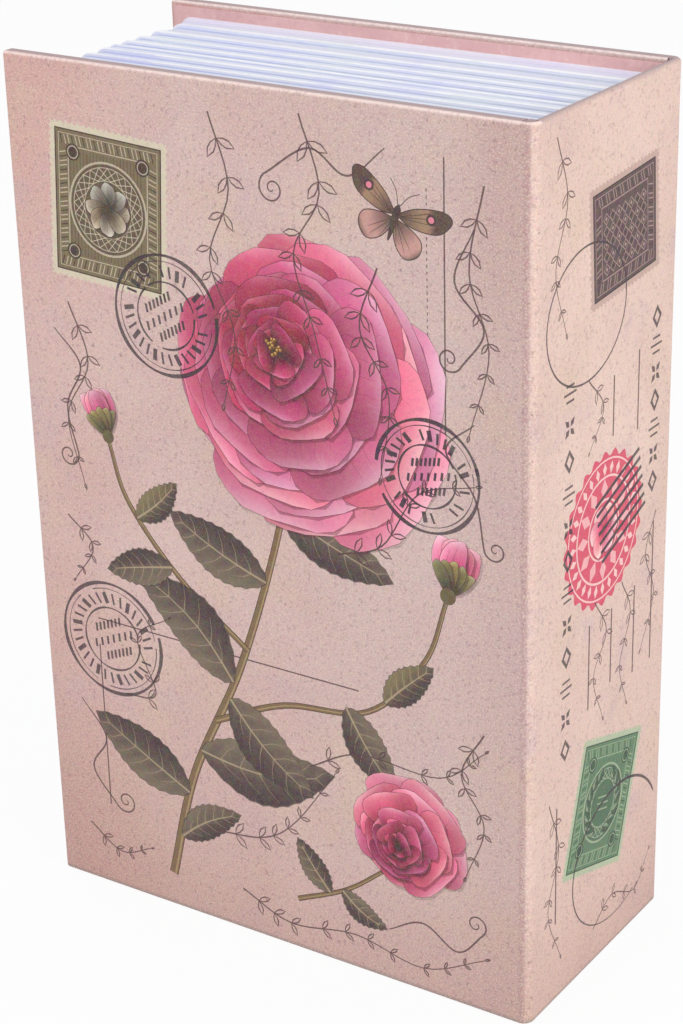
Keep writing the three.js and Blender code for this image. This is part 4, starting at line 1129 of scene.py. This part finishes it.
# The edges are darkened here, partly for soiling and partly as painted shade on the top, inner and foot
# faces of the case paper.
soil_and_shade_edge = attribute("soil_and_shade") * fibre.within(0.3, 0.6, 0.5, 0.85)
print_colour = mixed(print_colour, srgb(166, 146, 148), soil_and_shade_edge)
# The "worn" attribute is a painted highlight: the pale line along the rounded top edges where the lamps
# would catch them.
highlight_edge = attribute("worn") * fibre.within(0.3, 0.6, 0.55, 0.95)
print_colour = mixed(print_colour, srgb(252, 230, 222), highlight_edge)
relief = fibre * 0.6 + grain * 0.4
wired(
    printed_paper,
    Base_Color=print_colour,
    Roughness=grain.within(0.3, 0.7, 0.55, 0.7),
    Normal=bumped(relief, 0.22, 0.00008),
)

front_paper = wrapped_piece("front_cover_paper", 0.0, joint_end, cover_slab, turned_low=True, highlights=(1, 0))
front_paper.data.materials.append(printed_paper)
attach(front_paper, "front_cover")
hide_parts("front_cover_wrap")

# Joint: the same sheet, bare of board, bending round the front corner of the spine. It is the cover's hinge.
joint_slab = 1.0
joint_steps = [fold_1 + fold_length * k / 12 for k in range(12)]
joint_paper = wrapped_piece(
    "joint_paper", joint_end, spine_start, joint_slab, folds=joint_steps, highlights=(0.8, 0)
)
joint_paper.data.materials.append(printed_paper)
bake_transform(joint_paper)
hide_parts("joint_strip")

# The sheet is turned in at the joint's head and tail too, and closes it there.
turn_in_thick = 0.6
turn_in_edge = 0.2
turn_in_round = fold_radius - 1.05
turn_in_start = joint_end - book_wide / 2 + 0.05
board_side = 0.7
outline = [(turn_in_start, -fold_y - turn_in_round)]
for k in range(7):
    lean = math.pi / 12 * k
    outline.append((fold_x + turn_in_round * math.sin(lean), -fold_y - turn_in_round * math.cos(lean)))
outline += [(fold_x + board_side, board_side - fold_y), (turn_in_start, board_side - fold_y)]
cap_verts, cap_faces = [], []
for low in (turn_in_edge, book_high - turn_in_edge - turn_in_thick):
    first, count = len(cap_verts), len(outline)
    cap_verts += [(x * 0.001, y * 0.001, z * 0.001) for z in (low, low + turn_in_thick) for x, y in outline]
    cap_faces += [[first + i for i in range(count)][::-1], [first + count + i for i in range(count)]]
    cap_faces += [[first + i, first + (i + 1) % count, first + count + (i + 1) % count, first + count + i]
                  for i in range(count)]
cap_mesh = bpy.data.meshes.new("joint_turn_in")
cap_mesh.from_pydata(cap_verts, [], cap_faces)
no_ink = [0.0] * 4 * len(cap_mesh.loops)
cap_mesh.color_attributes.new("ink", "FLOAT_COLOR", "CORNER").data.foreach_set("color", no_ink)
# The turn-in caps take no painted highlight and are darkened all over, partly for soiling and partly as
# painted shade.
cap_mesh.attributes.new("worn", "FLOAT", "POINT")
cap_mesh.attributes.new("soil_and_shade", "FLOAT", "POINT").data.foreach_set("value", [1.0] * len(cap_verts))
cap_mesh.materials.append(printed_paper)
joint_turn_in = put_down("joint_turn_in", cap_mesh)
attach(joint_turn_in, "case")
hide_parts("joint_strip")

# Spine, back corner and back cover: the rest of the sheet, over a thin spine
# board and a back board, all glued round the page block.
corner_slab = 2.2
corner_steps = [spine_end + fold_length * k / 12 for k in range(1, 12)]
for name, low_s, high_s, slab, turned, folds in (
    ("spine_paper", spine_start, spine_end, spine_slab, False, ()),
    ("back_corner_paper", spine_end, back_start, corner_slab, False, corner_steps),
    ("back_cover_paper", back_start, sheet_end, cover_slab, True, ()),
):
    # The back cover's turned-in edge takes a painted highlight on its inner rounding.
    inner_highlight = 1 if turned else 0
    piece = wrapped_piece(name, low_s, high_s, slab, turned_high=turned, folds=folds, highlights=(0, inner_highlight))
    piece.data.materials.append(printed_paper)
    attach(piece, "case")
    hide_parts("case_wrap")

# Endpapers: a pink sheet glued inside each cover, a little smaller than it, which
# also hides the turned-in edges of the case paper.
endpaper_paint = material("pink endpaper", Specular_IOR_Level=0.3)
here = object_place()
pulp = speckle(here, 700, 3, 0.65)
cloud = speckle(here, 60, 2, 0.5)
pink = mixed(srgb(220, 176, 176), srgb(230, 188, 186), cloud.within(0.35, 0.65))
pink = mixed(pink, srgb(246, 222, 214), pulp.within(0.52, 0.75, 0, 0.35))
pink = mixed(pink, srgb(200, 150, 152), pulp.within(0.46, 0.25, 0, 0.40))
wired(
    endpaper_paint,
    Base_Color=pink,
    Roughness=pulp.within(0.3, 0.7, 0.6, 0.75),
    Normal=bumped(pulp, 0.2, 0.00008),
)


def shaded(mesh, angle):
    """Smooth shading, but for edges that turn by more than that many degrees."""
    mesh.shade_smooth()
    mesh.set_sharp_from_angle(angle=math.radians(angle))


def soft_slab(name, low, high, edge):
    """A thin block with its edges rounded."""
    made = put_down(name, bpy.data.meshes.new(name))
    shape = bmesh.new()
    bmesh.ops.create_cube(shape, size=1)
    span = [b - a for a, b in zip(low, high)]
    for vert in shape.verts:
        vert.co = Vector([a + (c + 0.5) * s for a, c, s in zip(low, vert.co, span)])
    bmesh.ops.bevel(shape, geom=shape.edges, offset=edge, segments=2, profile=0.5, affect="EDGES")
    shape.to_mesh(made.data)
    shape.free()
    shaded(made.data, 50)
    return made


for node, body in (("front_endpaper", "front_cover"), ("back_endpaper", "case")):
    low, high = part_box(node)
    sheet_piece = soft_slab(node + "_sheet", low, high, 0.00008)
    sheet_piece.data.materials.append(endpaper_paint)
    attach(sheet_piece, body)
    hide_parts(node)

# Page block: one moulding of white plastic, its bands painted with a violet-blue shade, deepest at the foot
# of each step. Its three open sides are stepped and finely ribbed like gathered sheets, and it holds the
# pocket.
block_low, block_high = [Vector(c) * 1000 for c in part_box("page_block")]
step_deep = 0.8
step_widths = [0.097, 0.148, 0.11, 0.09, 0.079, 0.073, 0.1, 0.096, 0.102, 0.105]
step_falls = [0.15, 1, 0.9, 0.7, 0.9, 0.4, 1, 0.8, 0.7, 0.7]
pocket_low, pocket_high, pocket_round = (-45.4, 12.6), (44.35, 167.4), 3.1
pocket_floor = 20.6
lead_in, lead_middle = 0.4, 0.12
page_round = 2.5
spine_corner = 0.05
seam_reach = 0.16
rim_round, rim_step = 0.25, 0.08


def round_loop(low, high, radius_low, radius_high, arc=6):
    """A rectangle in (x, z), with one corner radius at its low x and another at its high x."""
    loop = []
    corners = ((high[0], high[1], 0, radius_high), (low[0], high[1], 90, radius_low),
               (low[0], low[1], 180, radius_low), (high[0], low[1], 270, radius_high))
    for x, z, start, radius in corners:
        cx = x - radius if x == high[0] else x + radius
        cz = z - radius if z == high[1] else z + radius
        for i in range(arc + 1):
            lean = math.radians(start + 90 * i / arc)
            loop.append((cx + radius * math.cos(lean), cz + radius * math.sin(lean)))
    return loop


# Each row round the block is a place across the book, how far it lies inside the outline, and how much
# painted shade its colour takes.
rows = []
y = block_high.y
crest = 0.5
for band, (width, fall) in enumerate(zip(step_widths, step_falls)):
    fall *= step_deep
    ahead = y - (block_high.y - block_low.y) * width
    if band:
        foot = y - seam_reach
        rows += [(y - 0.02, 0.06, 0.0), (y - 0.09, 0.45 * fall, 0.25)]
        rows += [(foot, 0.92 * fall, 0.9), (foot - 0.12, fall, 1.0)]
    else:
        rows += [(y, -0.55, 0.0), (y - 0.5, -0.5, 0.05), (y - 0.85, fall, 0.6)]
    start = rows[-1][0]
    reach = ahead + crest - start
    for share in (0.1, 0.25, 0.45, 0.65, 0.85):
        rows.append((start + reach * share, fall * (1 - share) ** 0.9, 0.72 * (1 - share) ** 1.2))
    rows += [(ahead + crest, 0.0, 0.0)]
    y = ahead
rows += [(block_low.y + rim_round, 0.0, 0.0), (block_low.y + rim_step, rim_step, 0.0)]
rows += [(block_low.y, rim_round, 0.1)]
page_faces, page_verts, painted_shade = [], [], []


def add_loop(y, inset, kind, shade=0.0):
    if kind == "outside":
        low = (block_low.x + inset, block_low.z + inset)
        high = (block_high.x, block_high.z - inset)
        loop = round_loop(low, high, page_round, spine_corner)
    else:
        low = (pocket_low[0] - inset, pocket_low[1] - inset)
        high = (pocket_high[0] + inset, pocket_high[1] + inset)
        loop = round_loop(low, high, pocket_round + inset, pocket_round + inset)
    first = len(page_verts)
    page_verts.extend((x, y, z) for x, z in loop)
    painted_shade.extend([shade] * len(loop))
    return list(range(first, first + len(loop)))


rings = [add_loop(y_, inset, "outside", shade) for y_, inset, shade in rows]
rings.append(add_loop(block_low.y, lead_in, "pocket"))
rings.append(add_loop(block_low.y + lead_middle, lead_middle, "pocket"))
rings.append(add_loop(block_low.y + lead_in, 0.0, "pocket"))
rings.append(add_loop(pocket_floor, 0.0, "pocket"))
page_faces.append(rings[0])
for outer, inner in zip(rings, rings[1:]):
    for i in range(len(outer)):
        j = (i + 1) % len(outer)
        page_faces.append((outer[j], outer[i], inner[i], inner[j]))
page_faces.append(rings[-1][::-1])
page_mesh = bpy.data.meshes.new("page_block_body")
page_mesh.from_pydata([Vector(v) * 0.001 for v in page_verts], [], page_faces)
page_mesh.attributes.new("painted_shade", "FLOAT", "POINT").data.foreach_set("value", painted_shade)
page_mesh.validate()
shaded(page_mesh, 40)
page_body = put_down("page_block_body", page_mesh)


def stretched(place, by):
    return Wire.node("ShaderNodeVectorMath", {"operation": "MULTIPLY"}, {0: place, 1: by})


page_paint = material("page plastic", Specular_IOR_Level=0.4)
here = object_place()
across = axis(here, 1)
grain = speckle(here, 1400, 2, 0.6)
leaves = speckle(stretched(here, (18, 2600, 18)), 1.0, 2, 0.7)
painted_shade_share = attribute("painted_shade")
# Painted shade: white on the crests, violet-blue over the bands, and a deeper blue at the foot of each step,
# bluer towards the fore-edge.
page_colour = mixed(srgb(255, 255, 255), srgb(228, 231, 245), painted_shade_share.within(0.01, 0.14))
trough_shade = mixed(srgb(186, 194, 226), srgb(188, 195, 209), axis(here, 0).within(-0.035, 0.025))
page_colour = mixed(page_colour, trough_shade, painted_shade_share.within(0.45, 1.0))
page_colour = mixed(page_colour, srgb(205, 210, 238), leaves.within(0.50, 0.28, 0, 0.30))
page_colour = mixed(page_colour, srgb(255, 255, 255), leaves.within(0.55, 0.75, 0, 0.5))
violet = speckle(here, 70, 3, 0.6)
stepped = across.within(-0.0240, -0.0215)
page_colour = mixed(page_colour, srgb(208, 208, 248), violet.within(0.50, 0.68, 0, 0.30) * stepped)
page_colour = mixed(page_colour, srgb(224, 232, 235), violet.within(0.46, 0.32, 0, 0.40) * stepped)
# Painted reflection: a pink cast from the back endpaper on the band beside it.
page_colour = mixed(page_colour, srgb(234, 212, 224), across.within(0.0222, 0.0247, 0, 0.45))
wired(
    page_paint,
    Base_Color=page_colour,
    Roughness=grain.within(0.3, 0.7, 0.42, 0.55),
    Normal=bumped(leaves * 0.8 + grain * 0.2, 0.35, 0.00015),
)
page_mesh.materials.append(page_paint)
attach(page_body, "case")
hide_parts("page_block")

# Boards: grey bookbinder's board, out of sight inside the covers and the spine. The
# solids of the CAD part show, in a dull, pulpy grey.
board_paint = material("grey board", Specular_IOR_Level=0.2)
here = object_place()
pulp = speckle(here, 500, 4, 0.7)
wired(
    board_paint,
    Base_Color=mixed(srgb(132, 126, 118), srgb(164, 158, 148), pulp.within(0.35, 0.65)),
    Roughness=pulp.within(0.3, 0.7, 0.8, 0.95),
    Normal=bumped(pulp, 0.4, 0.0002),
)
for node in ("front_cover_board", "spine_board", "back_cover_board"):
    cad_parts[node].data.materials.clear()
    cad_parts[node].data.materials.append(board_paint)

# Cash tray and lid: folded steel sheet of 0.8 and 1 mm in a fine black powder coat,
# with its folded and cut edges broken.
powder = material("black powder coat", Metallic=0.0, Specular_IOR_Level=0.5)
here = object_place()
orange_peel = speckle(here, 1500, 2, 0.5)
dust = speckle(here, 4200, 2, 0.6)
wide = speckle(here, 40, 2, 0.5)
black = mixed(srgb(33, 33, 36), srgb(46, 46, 49), wide.within(0.35, 0.65))
black = mixed(black, srgb(70, 70, 74), dust.within(0.58, 0.72, 0, 0.5))
wired(
    powder,
    Base_Color=black,
    Roughness=orange_peel.within(0.3, 0.7, 0.42, 0.6),
    Normal=bumped(orange_peel * 0.6 + dust * 0.4, 0.45, 0.00012),
)


weld_distance = 1e-6


def flats_joined(shape):
    """The solid's triangles, joined into the flats that they came from."""
    bmesh.ops.remove_doubles(shape, verts=shape.verts, dist=weld_distance)
    bmesh.ops.dissolve_limit(shape, angle_limit=math.radians(1), verts=shape.verts, edges=shape.edges)


def settled(made):
    """Gives the object the mesh that its modifiers make, in place of them, and shades it."""
    done = bpy.data.meshes.new_from_object(made.evaluated_get(bpy.context.evaluated_depsgraph_get()))
    made.modifiers.clear()
    made.data = done
    shaded(done, 38)


def finished(node, body, paint, bevel):
    """The CAD solid with its edges broken, as folded, drawn or turned metal has them."""
    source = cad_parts[node]
    mesh = source.data.copy()
    mesh.transform(source.matrix_world)
    shape = bmesh.new()
    shape.from_mesh(mesh)
    flats_joined(shape)
    shape.to_mesh(mesh)
    shape.free()
    mesh.materials.clear()
    mesh.materials.append(paint)
    made = put_down(node + "_finished", mesh)
    edge = made.modifiers.new("edge", "BEVEL")
    edge.width = bevel
    edge.segments = 2
    edge.limit_method = "ANGLE"
    edge.angle_limit = math.radians(35)
    edge.use_clamp_overlap = True
    sides = made.modifiers.new("faces", "TRIANGULATE")
    sides.min_vertices = 5
    settled(made)
    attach(made, body)
    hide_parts(node)


finished("cash_tray", "case", powder, bevel=0.00012)
finished("lid", "lid", powder, bevel=0.00025)

# Hinge, keeper and the lock's cam with its washer and screw: zinc-plated steel, a
# little cloudy and scratched.
zinc = material("zinc plated steel", Metallic=1.0)
here = object_place()
cloud = speckle(here, 180, 3, 0.6)
brush = speckle(stretched(here, (3000, 3000, 240)), 1.0, 2, 0.6)
wired(
    zinc,
    Base_Color=mixed(srgb(186, 190, 196), srgb(216, 218, 220), cloud.within(0.35, 0.65)),
    Roughness=brush.within(0.3, 0.7, 0.40, 0.56),
    Normal=bumped(brush, 0.12, 0.00005),
)
zinc_bevel = 0.00008
for node, body in (
    ("tray_hinge_leaf", "case"),
    ("lid_hinge_leaf", "lid"),
    ("hinge_pin", "case"),
    ("lock_keeper", "case"),
    ("lock_cam", "lock"),
    ("cam_washer", "lock"),
    ("cam_screw", "lock"),
):
    finished(node, body, zinc, zinc_bevel)

# Rivets and screws: the hinge and the keeper are riveted through the sheet, and four
# screws hold the tray to bosses of the page block. Each set is one pattern, repeated.
fastener_tree = bpy.data.node_groups.new("fasteners", "GeometryNodeTree")
fastener_tree.is_modifier = True
for title, kind, way in (
    ("Places", "NodeSocketGeometry", "INPUT"),
    ("Pattern", "NodeSocketObject", "INPUT"),
    ("Paint", "NodeSocketMaterial", "INPUT"),
    ("Set", "NodeSocketGeometry", "OUTPUT"),
):
    fastener_tree.interface.new_socket(title, in_out=way, socket_type=kind)
given = fastener_tree.nodes.new("NodeGroupInput")
pattern = fastener_tree.nodes.new("GeometryNodeObjectInfo")
spread = fastener_tree.nodes.new("GeometryNodeInstanceOnPoints")
solid = fastener_tree.nodes.new("GeometryNodeRealizeInstances")
painted = fastener_tree.nodes.new("GeometryNodeSetMaterial")
result = fastener_tree.nodes.new("NodeGroupOutput")
for source, target in (
    (given.outputs["Places"], spread.inputs["Points"]),
    (given.outputs["Pattern"], pattern.inputs["Object"]),
    (pattern.outputs["Geometry"], spread.inputs["Instance"]),
    (spread.outputs["Instances"], solid.inputs["Geometry"]),
    (solid.outputs["Geometry"], painted.inputs["Geometry"]),
    (given.outputs["Paint"], painted.inputs["Material"]),
    (painted.outputs["Geometry"], result.inputs["Set"]),
):
    fastener_tree.links.new(source, target)
sockets = [item for item in fastener_tree.interface.items_tree if item.item_type == "SOCKET"]
socket_names = {socket.name: socket.identifier for socket in sockets}

for name, body, kind, count in (
    ("tray_rivet_row", "case", "tray_leaf_rivet", 3),
    ("lid_rivet_row", "lid", "lid_leaf_rivet", 3),
    ("keeper_rivet_pair", "case", "keeper_rivet", 2),
    ("tray_screw_set", "case", "tray_screw", 4),
):
    nodes = [f"{kind}_{k}" for k in range(1, count + 1)]
    middles = [(Vector(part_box(node)[0]) + Vector(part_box(node)[1])) / 2 for node in nodes]
    shape = bmesh.new()
    shape.from_mesh(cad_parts[nodes[0]].data)
    bmesh.ops.transform(shape, matrix=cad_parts[nodes[0]].matrix_world, verts=shape.verts)
    bmesh.ops.translate(shape, vec=-middles[0], verts=shape.verts)
    flats_joined(shape)
    sharp = [edge for edge in shape.edges if edge.is_manifold and edge.calc_face_angle() > math.radians(50)]
    bmesh.ops.bevel(
        shape, geom=sharp, offset=zinc_bevel, segments=2, profile=0.5, affect="EDGES", clamp_overlap=True
    )
    bmesh.ops.triangulate(shape, faces=[face for face in shape.faces if len(face.verts) > 4])
    pattern_object = bpy.data.objects.new(name + "_pattern", bpy.data.meshes.new(name + "_pattern"))
    shape.to_mesh(pattern_object.data)
    shape.free()
    places = bpy.data.meshes.new(name)
    places.from_pydata(middles, [], [])
    fasteners = put_down(name, places)
    spreading = fasteners.modifiers.new("fasteners", "NODES")
    spreading.node_group = fastener_tree
    spreading[socket_names["Pattern"]] = pattern_object
    spreading[socket_names["Paint"]] = zinc
    settled(fasteners)
    bpy.data.objects.remove(pattern_object)
    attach(fasteners, body)
    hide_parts(*nodes)

# Lock: a nickelled housing and nut through the lid, and a brass plug with its four
# wafers. Both metals are turned, with a faint swirl.
def turned_metal(name, dark, light, spots, roughness, relief):
    made = material(name, Metallic=1.0)
    swirl = speckle(object_place(), spots)
    wired(
        made,
        Base_Color=mixed(dark, light, swirl.within(0.35, 0.65)),
        Roughness=swirl.within(0.3, 0.7, *roughness),
        Normal=bumped(swirl, relief, 0.00005),
    )
    return made


nickel = turned_metal("nickel plate", srgb(208, 206, 200), srgb(226, 225, 220), 900, (0.13, 0.22), 0.05)
brass = turned_metal("lock brass", srgb(186, 150, 84), srgb(210, 178, 112), 1200, (0.24, 0.36), 0.08)
finished("lock_housing", "lid", nickel, bevel=0.00015)
finished("lock_nut", "lid", nickel, bevel=0.00015)
finished("lock_plug", "lock", brass, bevel=0.00006)
for k in (1, 2, 3, 4):
    finished(f"lock_wafer_{k}", "lock", brass, bevel=0.00003)

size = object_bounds()
